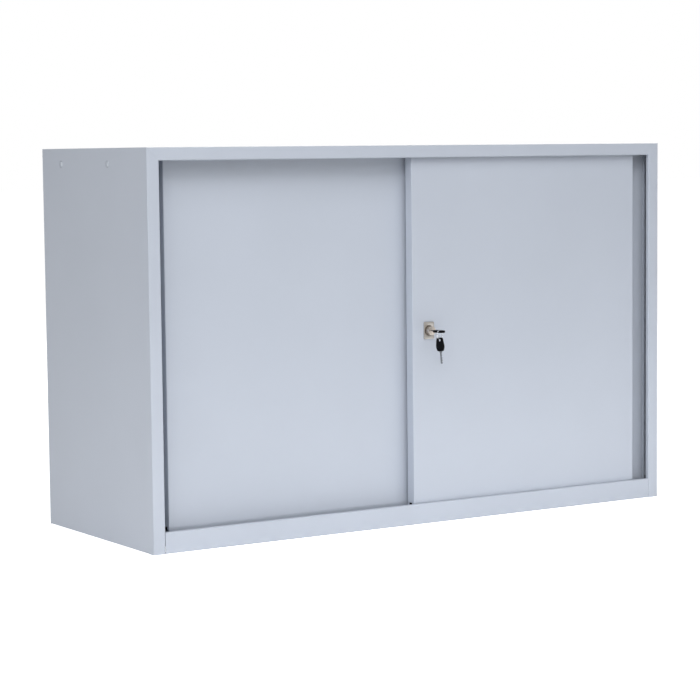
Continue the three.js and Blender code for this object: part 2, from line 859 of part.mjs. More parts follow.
// A roller carriage: a moulded block in the pan, with a nose that carries the axle
// and a tab that shows in the notch of the door's edge
function carriage(name, across, start, wall, way, middle) {
  const low = doorBottom + doorSheet + seam;
  const half = carriageWidth / 2;
  const centre = across(start + carriageLength / 2);
  const outline = roundedRectangle(carriageLength, carriageHeight, carriageCorner);
  const body = solid(
    push(outline, carriageWidth)
      .applyMatrix4(turnToY)
      .translate(centre, middle + half, low + carriageHeight / 2),
  );
  const nose = solid(
    bar('y', middle - half, middle + half, carriageNose).translate(centre, 0, wheelCentre),
  );
  const neck = block(
    [centre - carriageNose, middle - half, wheelCentre],
    [centre + carriageNose, middle + half, low + carriageCorner],
  );
  const tab = block(
    [across(wall + way * carriageTabProud), middle - carriageTabWidth / 2, low],
    [
      across(wall - way * (doorSheet + carriageEndGap + carriageCorner)),
      middle + carriageTabWidth / 2,
      doorBottom + notchHeight - seam,
    ],
  );
  const slot = wheelWidth / 2 + wheelRunningGap;
  const well = solid(
    bar('y', middle - slot, middle + slot, wheelRadius + windowGap).translate(
      centre,
      0,
      wheelCentre,
    ),
  );
  const bore = solid(
    bar('y', middle - half - overrun, middle + half + overrun, axleRadius + axleClearance).translate(
      centre,
      0,
      wheelCentre,
    ),
  );
  return piece(name, cut(join(body, neck, nose, tab), well, bore), blackPlastic);
}

// A grooved wheel whose tread runs on the rib
function wheel(name, centre, middle) {
  const half = wheelWidth / 2;
  const groove = wheelGroove / 2;
  const bore = axleRadius + axleClearance;
  const rim = wheelRadius - wheelChamfer;
  const profile = [
    [bore, -half],
    [rim, -half],
    [wheelRadius, -half + wheelChamfer],
    [wheelTread, -groove],
    [wheelTread, groove],
    [wheelRadius, half - wheelChamfer],
    [rim, half],
    [bore, half],
    [bore, -half],
  ].map(([r, y]) => new THREE.Vector2(r, y));
  const geometry = new THREE.LatheGeometry(profile, roundFacets);
  return piece(name, solid(geometry.translate(centre, middle, wheelCentre)), nylon);
}

// A nylon guide: a foot inside the pan and a tongue that runs in the top track
function topGuide(name, across, start, middle) {
  const ceiling = doorTop - doorSheet - seam;
  const tip = guideCeiling - guideTrackWall - guideTopGap;
  const [foot, tongue] = [guideFoot / 2, guideTongue / 2];
  const shape = new THREE.Shape();
  shape.moveTo(middle - foot, ceiling - guideFootHeight);
  shape.lineTo(middle + foot, ceiling - guideFootHeight);
  shape.lineTo(middle + foot, ceiling);
  shape.lineTo(middle + tongue, ceiling);
  shape.lineTo(middle + tongue, tip - guideTipChamfer);
  shape.lineTo(middle + tongue - guideTipChamfer, tip);
  shape.lineTo(middle - tongue + guideTipChamfer, tip);
  shape.lineTo(middle - tongue, tip - guideTipChamfer);
  shape.lineTo(middle - tongue, ceiling);
  shape.lineTo(middle - foot, ceiling);
  const ends = [across(start), across(start + guideLength)].sort((a, b) => a - b);
  return piece(name, pushX(shape, ...ends), nylon);
}

// The keeper on the rear door's face, that the bolt drops behind
function lockKeeper() {
  const face = rearDoorFace - seam;
  const edge = doorOverlap / 2;
  const section = fold(
    [
      [edge - keeperBase, face - keeperSheet / 2],
      [edge - keeperSheet / 2, face - keeperSheet / 2],
      [edge - keeperSheet / 2, face - keeperReach],
    ],
    keeperSheet,
    clipBend,
  );
  const half = keeperHeight / 2;
  return piece('lock_keeper', pushZ(section, lockHeight - half, lockHeight + half), zincSteel);
}

// The lock, about its own axis: width and height from the axis, depth from the front
function lockPieces() {
  const plate = solid(
    push(roundedRectangle(plateWidth, plateHeight, plateCorner), plateThickness, plateBevel)
      .applyMatrix4(turnToY)
      .translate(0, plateBack, 0),
  );
  const neck = solid(bar('y', plateBack - plateThickness / 2, neckRear, neckRadius));
  const cylinder = solid(
    bar('y', plateFront - overrun, neckFloor, plungerRadius + plungerClearance),
  );
  const boltHole = solid(
    bar('y', neckFloor - overrun, neckRear + overrun, boltRadius + boltClearance),
  );
  const sink = turned([
    [0, plateFront - overrun],
    [plateSinkRadius, plateFront - overrun],
    [plateSinkRadius, plateFront],
    [plungerRadius + plungerClearance, plateFront + plateSinkDepth],
    [0, plateFront + plateSinkDepth],
  ]);
  const body = cut(join(plate, neck), cylinder, boltHole, sink);

  const nutFace = doorSetback + doorSheet + seam;
  const nutRadius = nutAcross / Math.sqrt(3);
  const hexagon = solid(bar('y', nutFace, nutFace + nutThickness, nutRadius, nutRadius, 6));
  const thread = solid(
    bar('y', nutFace - overrun, nutFace + nutThickness + overrun, neckRadius + holeClearance),
  );

  const waistEnd = plungerShoulder + plungerWaistLength;
  const boreEnd = coreFront + coreLength + coreEndGap;
  const plunger = turned([
    [coreRadius + coreClearance, plungerFront],
    [plungerRadius - plungerChamfer, plungerFront],
    [plungerRadius, plungerFront + plungerChamfer],
    [plungerRadius, plungerShoulder],
    [plungerWaistRadius, plungerShoulder],
    [plungerWaistRadius, waistEnd],
    [boltRadius, waistEnd],
    [boltRadius, boltReach - plungerChamfer],
    [boltRadius - plungerChamfer, boltReach],
    [0, boltReach],
    [0, boreEnd],
    [coreRadius + coreClearance, boreEnd],
    [coreRadius + coreClearance, plungerFront],
  ]);

  const barrel = turned([
    [0, coreFront],
    [coreRadius - plungerChamfer / 2, coreFront],
    [coreRadius, coreFront + plungerChamfer / 2],
    [coreRadius, coreFront + coreLength],
    [0, coreFront + coreLength],
  ]);
  const keyway = block(
    [
      -bladeWidth / 2 - keyClearance,
      coreFront - overrun,
      -bladeThickness / 2 - keyClearance,
    ],
    [
      bladeWidth / 2 + keyClearance,
      coreFront + coreLength + overrun,
      bladeThickness / 2 + keyClearance,
    ],
  );

  return [
    piece('lock_body', body, nickel),
    piece('lock_nut', cut(hexagon, thread), zincSteel),
    piece('lock_plunger', plunger, nickel),
    piece('lock_core', cut(barrel, keyway), nickel),
    lockSpring(),
  ];
}

// The spring between the plunger's shoulder and the floor of the lock body
class Helix extends THREE.Curve {
  constructor(radius, from, to, turns) {
    super();
    Object.assign(this, { radius, from, to, turns });
  }

  getPoint(t, target = new THREE.Vector3()) {
    const angle = 2 * Math.PI * this.turns * t;
    const depth = this.from + (this.to - this.from) * t;
    return target.set(this.radius * Math.cos(angle), depth, this.radius * Math.sin(angle));
  }
}

function lockSpring() {
  const bore = plungerRadius + plungerClearance;
  const radius = (bore + plungerWaistRadius) / 2;
  const start = plungerShoulder + springWire / 2 + springEndGap;
  const end = neckFloor - springWire / 2 - springEndGap;
  const wire = new THREE.Shape().absarc(0, 0, springWire / 2, 0, 2 * Math.PI);
  const geometry = new THREE.ExtrudeGeometry(wire, {
    steps: springSteps * springTurns,
    curveSegments: springSides / 2,
    extrudePath: new Helix(radius, start, end, springTurns),
  });
  return piece('lock_spring', solid(geometry), zincSteel);
}

// A flat key, drawn with its length along Y and its root at the bow's lower edge
function keyPieces(prefix) {
  const group = new THREE.Group();
  const [half, shoulder] = [bladeWidth / 2, bladeShoulderWidth / 2];
  const toothed = bladeLength - bladeShoulderLength - 2 * bladeTip;
  const cutSpan = toothed / bladeCutDepths.length;
  const points = [
    [shoulder, bladeTang],
    [-shoulder, bladeTang],
    [-shoulder, -bladeShoulderLength],
    [-half, -bladeShoulderLength],
    [-half, -bladeLength + bladeTip],
    [-half + bladeTip, -bladeLength],
    [half - bladeTip, -bladeLength],
    [half, -bladeLength + bladeTip],
  ];
  bladeCutDepths.forEach((depth, i) => {
    const places = bladeCutShares.map((s) => -bladeLength + bladeTip + (i + s) * cutSpan);
    points.push([half, places[0]], [half - depth, places[1]]);
    points.push([half - depth, places[2]], [half, places[3]]);
  });
  points.push([half, -bladeShoulderLength], [shoulder, -bladeShoulderLength]);
  const outline = (list) => new THREE.Shape(list.map(([x, y]) => new THREE.Vector2(x, y)));
  const blade = push(outline(points), bladeThickness).translate(0, 0, -bladeThickness / 2);

  // The bow tapers to its hole, and its corners and edges are rounded
  const bow = bowShape();
  const body = solid(push(bow, bowThickness, bowBevel, bowSteps).translate(0, 0, -bowThickness / 2));
  const thick = bladeThickness / 2 + bowSocketGap;
  const socket = block(
    [-shoulder - bowSocketGap, -overrun, -thick],
    [shoulder + bowSocketGap, bladeTang + bowSocketGap, thick],
  );
  const eye = solid(bar('z', -bowThickness, bowThickness, bowHoleRadius).translate(0, holeY, 0));
  group.add(piece(`${prefix}_blade`, solid(blade), keySteel));
  group.add(piece(`${prefix}_bow`, cut(body, socket, eye), blackPlastic));
  return group;
}

// The bow's outline: it widens from the blade, then tapers to its end, with round corners
function bowShape() {
  const corners = [
    [-bowRootWidth / 2, 0],
    [bowRootWidth / 2, 0],
    [bowWidth / 2, bowWidthAt],
    [bowEndWidth / 2, bowLength],
    [-bowEndWidth / 2, bowLength],
    [-bowWidth / 2, bowWidthAt],
  ].map(([x, y]) => new THREE.Vector2(x, y));
  const shape = new THREE.Shape();
  corners.forEach((corner, i) => {
    const before = corners.at(i - 1).clone().sub(corner).setLength(bowCorner);
    const after = corners[(i + 1) % corners.length].clone().sub(corner).setLength(bowCorner);
    const [from, to] = [corner.clone().add(before), corner.clone().add(after)];
    if (i === 0) shape.moveTo(from.x, from.y);
    else shape.lineTo(from.x, from.y);
    shape.quadraticCurveTo(corner.x, corner.y, to.x, to.y);
  });
  shape.closePath();
  return shape;
}

// The ring, in an upright plane, with the in-lock key's hole at its origin
function keyRing() {
  const geometry = new THREE.TorusGeometry(ringRadius, ringWire, ringSides, ringFacets);
  geometry.rotateX(Math.PI / 2).translate(-ringAside, 0, -ringBelow);
  return piece('key_ring', solid(geometry), keySteel);
}

// Assembly
const cabinet = new THREE.Group();
cabinet.position.y = -cabinetDepth / 2;

const carcass = new THREE.Group();
carcass.add(sidePanel('left_side_panel', -1), sidePanel('right_side_panel', 1));
carcass.add(topPanel(), bottomPanel(), backPanel(), floorStiffener());
carcass.add(
  bottomRail('bottom_rail_front', frontDoorFace + runningLine),
  bottomRail('bottom_rail_rear', rearDoorFace + runningLine),
);
carcass.add(topTrack(), shelf());
for (const [side, hand] of [['left', -1], ['right', 1]]) {
  for (const [row, depth] of uprightPlaces) {
    carcass.add(upright(`upright_${side}_${row}`, hand, depth));
    carcass.add(shelfClip(`shelf_clip_${side}_${row}`, hand, depth));
  }
  dimpleDepths.forEach((depth, i) => {
    carcass.add(sideRivet(`side_rivet_${side}_${i === 0 ? 'front' : 'rear'}`, hand, depth));
  });
  carcass.add(doorBuffer(`buffer_${side}_front`, hand, frontDoorFace));
  carcass.add(doorBuffer(`buffer_${side}_rear`, hand, rearDoorFace));
}
cabinet.add(carcass);

const frontDoor = new THREE.Group();
frontDoor.add(...doorPieces('front_door', 1, frontDoorFace));
const lock = new THREE.Group();
lock.position.set(lockX, 0, lockHeight);
lock.add(...lockPieces());
frontDoor.add(lock);
cabinet.add(frontDoor);

const rearDoor = new THREE.Group();
rearDoor.add(...doorPieces('rear_door', -1, rearDoorFace), lockKeeper());
cabinet.add(rearDoor);

// The key in the lock lies flat, with its bow towards the front
const key = keyPieces('key');
key.rotation.z = Math.PI;
key.position.set(lockX, bowRoot, lockHeight);
cabinet.add(key);

// The ring runs through the hole of that key and round its flank. The spare key hangs
// at the lowest point of the ring, turned a little and leaning
const ringHanger = new THREE.Group();
ringHanger.position.set(lockX, bowRoot - holeY, lockHeight);
ringHanger.rotation.z = THREE.MathUtils.degToRad(ringYawDegrees);
ringHanger.add(keyRing());
cabinet.add(ringHanger);

const spareTurn = new THREE.Group();
spareTurn.position.set(-ringAside, 0, -ringBelow - ringRadius - spareHang);
spareTurn.rotation.z = THREE.MathUtils.degToRad(spareYawDegrees - ringYawDegrees);
const spareLean = new THREE.Group();
spareLean.rotation.y = -THREE.MathUtils.degToRad(spareLeanDegrees);
const spareKey = keyPieces('spare_key');
spareKey.rotation.x = Math.PI / 2;
spareKey.position.z = -holeY;
spareLean.add(spareKey);
spareTurn.add(spareLean);
ringHanger.add(spareTurn);

export default cabinet;
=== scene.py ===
# %% [markdown]
# # A steel cabinet with two sliding doors
# The cabinet is folded from thin steel sheet and powder coated in one light grey. Its shapes come
# from a CAD model, which this script loads as a fixed frame. What is left to do here is the look:
# round bends that catch the light, the skin of the powder coat, and the small turned and moulded
# pieces, such as the lock, its keys and the rollers. Everything is in metres, +X to the right,
# +Y into the cabinet and +Z up, with the origin on the floor under the middle of the carcass.

import json
import math

import bmesh
import bpy
from mathutils import Matrix, Vector
from mathutils.geometry import intersect_line_line_2d

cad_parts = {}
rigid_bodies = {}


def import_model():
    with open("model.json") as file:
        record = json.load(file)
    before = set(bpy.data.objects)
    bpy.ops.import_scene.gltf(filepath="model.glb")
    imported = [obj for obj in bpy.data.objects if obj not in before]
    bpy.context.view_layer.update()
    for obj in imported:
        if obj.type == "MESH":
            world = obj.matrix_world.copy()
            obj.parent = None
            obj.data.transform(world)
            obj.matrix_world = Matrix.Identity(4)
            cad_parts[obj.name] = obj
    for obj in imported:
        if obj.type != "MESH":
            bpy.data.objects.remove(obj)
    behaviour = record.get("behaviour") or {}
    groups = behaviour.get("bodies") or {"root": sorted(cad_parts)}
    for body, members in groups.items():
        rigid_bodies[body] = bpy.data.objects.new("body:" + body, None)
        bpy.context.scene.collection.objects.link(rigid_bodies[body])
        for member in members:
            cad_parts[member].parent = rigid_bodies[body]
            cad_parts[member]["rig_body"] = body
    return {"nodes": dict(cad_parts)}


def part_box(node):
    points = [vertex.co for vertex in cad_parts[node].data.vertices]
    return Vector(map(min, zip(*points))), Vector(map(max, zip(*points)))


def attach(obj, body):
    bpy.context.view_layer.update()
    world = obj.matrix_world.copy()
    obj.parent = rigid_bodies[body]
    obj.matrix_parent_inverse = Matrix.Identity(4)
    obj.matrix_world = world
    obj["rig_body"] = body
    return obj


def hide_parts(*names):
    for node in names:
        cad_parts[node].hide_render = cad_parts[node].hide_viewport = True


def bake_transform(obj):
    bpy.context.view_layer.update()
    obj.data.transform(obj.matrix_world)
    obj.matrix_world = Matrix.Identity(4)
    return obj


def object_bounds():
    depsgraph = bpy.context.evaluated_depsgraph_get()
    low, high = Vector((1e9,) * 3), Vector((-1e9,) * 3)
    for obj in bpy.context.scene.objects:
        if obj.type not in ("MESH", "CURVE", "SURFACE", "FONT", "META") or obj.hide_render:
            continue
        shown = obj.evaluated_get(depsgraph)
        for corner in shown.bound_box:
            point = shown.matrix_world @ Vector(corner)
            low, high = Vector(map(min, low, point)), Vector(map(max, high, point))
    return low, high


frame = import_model()
cad_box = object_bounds()

# %% [markdown]
# Sizes below are written in millimetres, as on a drawing, and `MM` turns them into Blender's
# metres. Colours are written as sRGB hex codes, as a paint card gives them. Blender mixes light in
# linear values, so one function converts them.

# %% Units, colours and one way to add a node
MM = 0.001
WHITE = (1, 1, 1, 1)


def linear(code):
    """The linear colour of an sRGB hex code, by the curve of the sRGB standard."""
    parts = [int(code[i : i + 2], 16) / 255 for i in (0, 2, 4)]
    return (*(p / 12.92 if p <= 0.04045 else ((p + 0.055) / 1.055) ** 2.4 for p in parts), 1)


def put(tree, kind, inputs=None, **settings):
    """Adds a node with its settings, and fills its inputs with values or links."""
    made = tree.nodes.new(kind)
    for name, value in settings.items():
        setattr(made, name, value)
    for name, value in (inputs or {}).items():
        if isinstance(value, bpy.types.NodeSocket):
            tree.links.new(value, made.inputs[name])
        else:
            made.inputs[name].default_value = value
    return made


print("powder grey is", [round(c, 3) for c in linear("c4cbd7")[:3]], "in linear light")

# %% [markdown]
# ## Finishes
# Every finish here is a Principled shader with one to three patterns behind it. A pattern's scale
# is worked out from its real size: coordinates are in metres, so a noise whose cells are s mm
# across has the scale 1000 / s.

# %% Start a finish
finishes = {}


def start(name, **sockets):
    """A new material, its tree, its shader with the given sockets set, and the coordinates."""
    material = bpy.data.materials.new(name)
    material.use_nodes = True
    tree = material.node_tree
    shader = tree.nodes["Principled BSDF"]
    for label, value in sockets.items():
        shader.inputs[label.replace("_", " ")].default_value = value
    finishes[name] = material
    return tree, shader, put(tree, "ShaderNodeTexCoord").outputs["Object"]


def cells(size):
    """The noise scale whose cells are this many millimetres across."""
    return 1000 / size


print("cells of 2 mm have the scale", cells(2))

# %% [markdown]
# The patterns drive three things that the eye reads as a material: its tone, how rough it is, and
# its relief. One function lays them on a shader. A Mix node has its sockets for colours beside
# those for other kinds, under the same names, so they are picked by their numbers.

# %% Patterns on a finish
MIX_FACTOR, MIX_A, MIX_B, MIX_RESULT = 0, 6, 7, 2


def lay(tree, shader, tone, gloss=None, waves=None):
    """Lets patterns run a shader, and returns the socket that gives its tone.

    tone is a pattern and two hex codes, gloss a pattern and two values of roughness, and waves a
    pattern, a depth in millimetres and a strength.
    """
    pattern, one, other = tone
    mixed = put(
        tree,
        "ShaderNodeMix",
        {MIX_FACTOR: pattern.outputs["Fac"], MIX_A: linear(one), MIX_B: linear(other)},
        data_type="RGBA",
    )
    tree.links.new(mixed.outputs[MIX_RESULT], shader.inputs["Base Color"])
    if gloss:
        pattern, low, high = gloss
        span = put(
            tree,
            "ShaderNodeMapRange",
            {"Value": pattern.outputs["Fac"], "To Min": low, "To Max": high},
        )
        tree.links.new(span.outputs["Result"], shader.inputs["Roughness"])
    if waves:
        pattern, depth, strength = waves
        bump = put(
            tree,
            "ShaderNodeBump",
            {"Height": pattern.outputs["Fac"], "Distance": depth * MM, "Strength": strength},
        )
        tree.links.new(bump.outputs["Normal"], shader.inputs["Normal"])
    return mixed.outputs[MIX_RESULT]


def mottled(name, size, detail, tones, roughness, waves=None, **sockets):
    """A finish whose tone, roughness and relief all follow one noise of this cell size."""
    tree, shader, place = start(name, **sockets)
    noise = put(
        tree, "ShaderNodeTexNoise", {"Vector": place, "Scale": cells(size), "Detail": detail}
    )
    lay(tree, shader, (noise, *tones), (noise, *roughness), (noise, *waves) if waves else None)
    return shader


print("a Mix node takes its colours at sockets", MIX_A, "and", MIX_B)

# %% [markdown]
# ** Powder coat.** Dry polyester powder is sprayed on the folded steel and melted in an oven. It
# flows into a skin with a fine orange peel, waves about 2 mm across and a few hundredths of a
# millimetre deep, and the film is a shade thicker in some places than in others. The eye gets a
# soft satin sheen that lights up along each bend. Shade is painted into the colour as well: the
# Ambient Occlusion node finds narrow recesses and inner corners on each pressing, and the tone
# there is darkened, as painted shade.

# %% Powder coat
tree, shader, place = start("powder_coated_steel", Specular_IOR_Level=0.3)
peel = put(tree, "ShaderNodeTexNoise", {"Vector": place, "Scale": cells(2), "Detail": 2.0})
film = put(tree, "ShaderNodeTexNoise", {"Vector": place, "Scale": cells(260), "Detail": 3.0})
grain = put(tree, "ShaderNodeTexNoise", {"Vector": place, "Scale": cells(0.5), "Detail": 1.0})
coat = lay(
    tree,
    shader,
    tone=(film, "bdc4d0", "c4cbd7"),
    gloss=(grain, 0.36, 0.48),
    waves=(peel, 0.03, 0.5),
)
# Painted shade: the coat's tone is multiplied darker where the Ambient Occlusion node finds recesses
# and inner corners.
reach = put(
    tree, "ShaderNodeAmbientOcclusion", {"Distance": 30 * MM}, samples=4, only_local=True
)
painted_shade = put(
    tree,
    "ShaderNodeMapRange",
    {"Value": reach.outputs["AO"], "From Min": 0.3, "From Max": 0.95, "To Min": 0.55},
)
applied = put(
    tree,
    "ShaderNodeMix",
    {MIX_FACTOR: 1.0, MIX_A: coat, MIX_B: painted_shade.outputs["Result"]},
    data_type="RGBA",
    blend_type="MULTIPLY",
)
tree.links.new(applied.outputs[MIX_RESULT], shader.inputs["Base Color"])
print("powder coat: orange peel at scale", cells(2))

# %% [markdown]
# ** Stoved enamel.** The side rivets have heads dipped and stoved in enamel. Wet enamel draws smooth
# on so small a dome, so it gleams in its dimple. Its tone is a shade lighter than the cabinet's
# grey, as a painted highlight on the domes.
#
# **Zinc plate** covers the clips, axles, lock fittings and the rivets of the back. It is bright and
# slightly blue, and barrel plating leaves it cloudy in patches of a few millimetres.

# %% Stoved enamel and zinc plate
mottled(
    "enamel_with_painted_highlight",
    size=3,
    detail=2.0,
    # Painted highlight: these tones are lighter than the powder coat's grey.
    tones=("ccd3df", "d3dae5"),
    roughness=(0.12, 0.24),
    Specular_IOR_Level=0.8,
)
mottled(
    "zinc_plated_steel",
    size=4,
    detail=4.0,
    tones=("a9adb2", "c3c5c4"),
    roughness=(0.28, 0.46),
    Metallic=1.0,
)
print("finishes so far:", list(finishes))

# %% [markdown]
# **Natural aluminium** is what the rails are extruded from. The die draws fine lines along them,
# so the noise is stretched along X and narrow across.

# %% Natural aluminium
tree, shader, place = start("natural_aluminium", Metallic=1.0)
drawn = put(tree, "ShaderNodeMapping", {"Vector": place, "Scale": (0.01, 1, 1)})
lines = put(
    tree,
    "ShaderNodeTexNoise",
    {"Vector": drawn.outputs["Vector"], "Scale": cells(0.4), "Detail": 2.0},
)
lay(
    tree,
    shader,
    tone=(lines, "b9bcc0", "d3d5d7"),
    gloss=(lines, 0.28, 0.42),
    waves=(lines, 0.01, 0.6),
)
print("aluminium: die lines at scale", cells(0.4))

# %% [markdown]
# **Nickel** is on the lock. The die-cast plate is brushed before it is plated, which leaves short
# upright lines and a warm grey. The barrel and its core are turned, so they are smoother and
# brighter, with fine lines round the axis, drawn here by a noise squeezed along Y.

# %% Nickel, brushed and turned
for name, along, tones, roughness in (
    ("brushed_nickel", (1, 1, 0.04), ("8b8986", "a29e99"), (0.3, 0.46)),
    ("turned_nickel", (0.2, 1, 0.2), ("a29c96", "bab2aa"), (0.27, 0.43)),
):
    tree, shader, place = start(name, Metallic=1.0)
    lined = put(tree, "ShaderNodeMapping", {"Vector": place, "Scale": along})
    brush = put(
        tree,
        "ShaderNodeTexNoise",
        {"Vector": lined.outputs["Vector"], "Scale": cells(0.25), "Detail": 2.0},
    )
    patina = put(tree, "ShaderNodeTexNoise", {"Vector": place, "Scale": cells(9), "Detail": 2.0})
    lay(
        tree,
        shader,
        tone=(patina, *tones),
        gloss=(brush, *roughness),
        waves=(brush, 0.008, 0.6),
    )
print("nickel: brush lines at scale", cells(0.25))

# %% [markdown]
# **Key steel** is a nickel silver strip, milled and tumbled, greyer and darker than the lock. The
# **ring** is spring wire with bright nickel on it, rubbed by the keys.
#
# **Moulded ABS** makes the black key bows and roller carriages. The mould is spark eroded, so the
# surface has a fine pitted grain of about 0.4 mm and a low sheen.
#
# **Natural nylon** makes the wheels and guides: milky, a little waxy, with some light inside it.
#
# **Rubber** makes the buffers: matt and dusty.

# %% Keys, plastics and rubber
mottled(
    "milled_key_steel",
    size=0.6,
    detail=3.0,
    tones=("63676d", "83868c"),
    roughness=(0.24, 0.42),
    Metallic=1.0,
)
mottled(
    "bright_ring_wire",
    size=1.2,
    detail=3.0,
    tones=("b2b5ba", "d2d4d8"),
    roughness=(0.14, 0.34),
    Metallic=1.0,
)
mottled(
    "moulded_black_abs",
    size=0.4,
    detail=2.0,
    tones=("050608", "0b0c10"),
    roughness=(0.34, 0.5),
    waves=(0.02, 0.5),
    Specular_IOR_Level=0.06,
)
nylon = mottled(
    "natural_nylon",
    size=3,
    detail=2.0,
    tones=("dcdad0", "e8e6dc"),
    roughness=(0.36, 0.5),
    Subsurface_Weight=0.25,
)
nylon.inputs["Subsurface Radius"].default_value = (1.2 * MM, 1.0 * MM, 0.8 * MM)
mottled(
    "buffer_rubber",
    size=1.5,
    detail=4.0,
    tones=("17171a", "2a2a2c"),
    roughness=(0.7, 0.9),
    waves=(0.03, 0.5),
)
print(len(finishes), "finishes")

# %% [markdown]
# ## Camera
# The photograph was matched to a camera by solving for the seven corners of the carcass that show.
# It stands in front and to the left, just under the level of the top, with a long lens, so the
# sides stay almost parallel. The rotation is built from the three directions of the camera.

# %% Camera
EYE = (-2.4712, -3.8297, 0.7297)
YAW, PITCH, ROLL = (math.radians(angle) for angle in (32.546, -5.016, -0.593))
FOCAL_PX, FRAME_PX, SENSOR = 2236.0, 700, 36

ahead = Vector(
    (math.sin(YAW) * math.cos(PITCH), math.cos(YAW) * math.cos(PITCH), math.sin(PITCH))
)
level = Vector((math.cos(YAW), -math.sin(YAW), 0))
over = level.cross(ahead)
right = level * math.cos(ROLL) + over * math.sin(ROLL)
up = over * math.cos(ROLL) - level * math.sin(ROLL)
turn = Matrix((right, up, -ahead)).transposed().to_4x4()

camera = bpy.data.objects.new("camera", bpy.data.cameras.new("camera"))
camera.data.sensor_width = SENSOR
camera.data.lens = FOCAL_PX / FRAME_PX * SENSOR
camera.data.clip_end = 100
camera.matrix_world = Matrix.Translation(EYE) @ turn
bpy.context.scene.collection.objects.link(camera)
bpy.context.scene.camera = camera
print("lens", round(camera.data.lens, 1), "mm")

# %% [markdown]
# ## Studio
# The photograph has the flat white of a product picture, so the world gives even light, and rays
# that show the world itself, to the camera or in metal, see plain white.

# %% World
WORLD_LIGHT = 0.15


def shows_background(tree):
    """1 for rays that show the background, to the camera, in gloss or through glass."""
    rays = put(tree, "ShaderNodeLightPath").outputs
    shown = rays["Is Camera Ray"]
    for kind in ("Is Glossy Ray", "Is Transmission Ray"):
        either = put(tree, "ShaderNodeMath", {0: shown, 1: rays[kind]}, operation="MAXIMUM")
        shown = either.outputs[0]
    return shown


world = bpy.data.worlds.new("studio")
world.use_nodes = True
bpy.context.scene.world = world
tree = world.node_tree
amount = put(
    tree,
    "ShaderNodeMapRange",
    {"Value": shows_background(tree), "To Min": WORLD_LIGHT, "To Max": 1.0},
)
backdrop = tree.nodes["Background"]
backdrop.inputs["Color"].default_value = WHITE
tree.links.new(amount.outputs["Result"], backdrop.inputs["Strength"])
print("world light", WORLD_LIGHT)

# %% [markdown]
# **Lamps.** Two large soft lamps, one high in front and one to the left of the camera, put a little
# shade under the top flange and light the bent edge between the front and the side. A third
# brightens the side, a fourth lights the back for other views, and low cards near the floor fill
# the faces from below.

# %% Lamps
def softbox(name, place, target, size, power):
    """A rectangular soft lamp at a place, facing a target, in metres and watts."""
    light = bpy.data.lights.new(name, "AREA")
    light.shape, light.energy = "RECTANGLE", power
    light.size, light.size_y = size
    lamp = bpy.data.objects.new(name, light)
    lamp.location = place
    lamp.rotation_euler = (Vector(target) - lamp.location).to_track_quat("-Z", "Y").to_euler()
    bpy.context.scene.collection.objects.link(lamp)


softbox("high_softbox", place=(0, -2.4, 3.4), target=(0, 0, 0.35), size=(3.0, 2.0), power=54)
softbox("key_softbox", place=(-2.6, -3.2, 2.6), target=(0, 0, 0.35), size=(2.4, 2.0), power=57)
softbox("side_softbox", place=(-3.4, -0.9, 1.9), target=(-0.4, 0, 0.35), size=(2.0, 2.0), power=17)
softbox("front_card", place=(0.15, -1.35, 0.1), target=(0.1, 0, 0.12), size=(3.0, 0.18), power=1.2)
softbox("sill_card", place=(0, -0.7, 0.05), target=(0, -0.22, 0.12), size=(2.0, 0.08), power=1.5)
softbox(
    "side_card", place=(-1.15, -0.1, 0.05), target=(-0.6, -0.06, 0.12), size=(0.7, 0.08), power=0.36
)
softbox("back_softbox", place=(2.2, 3.0, 2.4), target=(0.3, 0, 0.3), size=(3.0, 2.0), power=60)
print(len(bpy.data.lights), "lamps")

# %% [markdown]
# **Floor.** A plain matt white. The camera sees a little glow added to it, so it meets the white
# background without a horizon, and the cabinet's soft shadow stays.

# %% Floor
FLOOR_REACH, FLOOR_GLOW = 40, 0.9

tree, shader, place = start("pale_floor", Roughness=0.9, Specular_IOR_Level=0.0)
shader.inputs["Emission Color"].default_value = WHITE
speck = put(tree, "ShaderNodeTexNoise", {"Vector": place, "Scale": cells(900), "Detail": 1.0})
lay(tree, shader, tone=(speck, "f0f0f0", "f4f4f4"))
glow = put(tree, "ShaderNodeMapRange", {"Value": shows_background(tree), "To Max": FLOOR_GLOW})
tree.links.new(glow.outputs["Result"], shader.inputs["Emission Strength"])
corners = [
    (x * FLOOR_REACH, y * FLOOR_REACH, 0) for x, y in ((-1, -1), (1, -1), (1, 1), (-1, 1))
]
ground = bpy.data.meshes.new("floor")
ground.from_pydata(corners, [], [(0, 1, 2, 3)])
ground.materials.append(finishes["pale_floor"])
floor = bpy.data.objects.new("floor", ground)
bpy.context.scene.collection.objects.link(floor)
bpy.context.scene.view_settings.view_transform = "Standard"
print("floor", 2 * FLOOR_REACH, "m square")

# %% [markdown]
# ## Folded sheet
# The CAD solids are right in shape, but they come as loose flat triangles, so a bend shows its
# facets. A copy is welded into one skin and shaded smooth, with sharp edges kept where two faces
# meet at a real corner. The Weighted Normal modifier then lets the large faces keep their own
# direction, so the light changes only within the bend, as it does on folded steel.

# %% Dress a CAD solid
WELD = 0.002 * MM  # points closer than this are one
FOLD_ANGLE = 38  # degrees between faces, past which an edge of folded sheet is sharp
CORNER_ANGLE = 50  # and past which an edge that is to be rounded is a real corner


def shade(mesh, sharp):
    """Smooth faces, with an edge kept sharp where the surface turns by more than this angle."""
    mesh.shade_smooth()
    mesh.set_sharp_from_angle(angle=math.radians(sharp))


def own(name, mesh, finish, body, slot, *nodes):
    """A finished mesh as a piece that rides on a body, if one is given, and stands for nodes."""
    piece = bpy.data.objects.new(name, mesh)
    bpy.context.scene.collection.objects.link(piece)
    mesh.materials.clear()
    mesh.materials.append(finishes[finish])
    if body:
        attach(piece, body)
    if nodes:
        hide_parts(*nodes)
    return piece


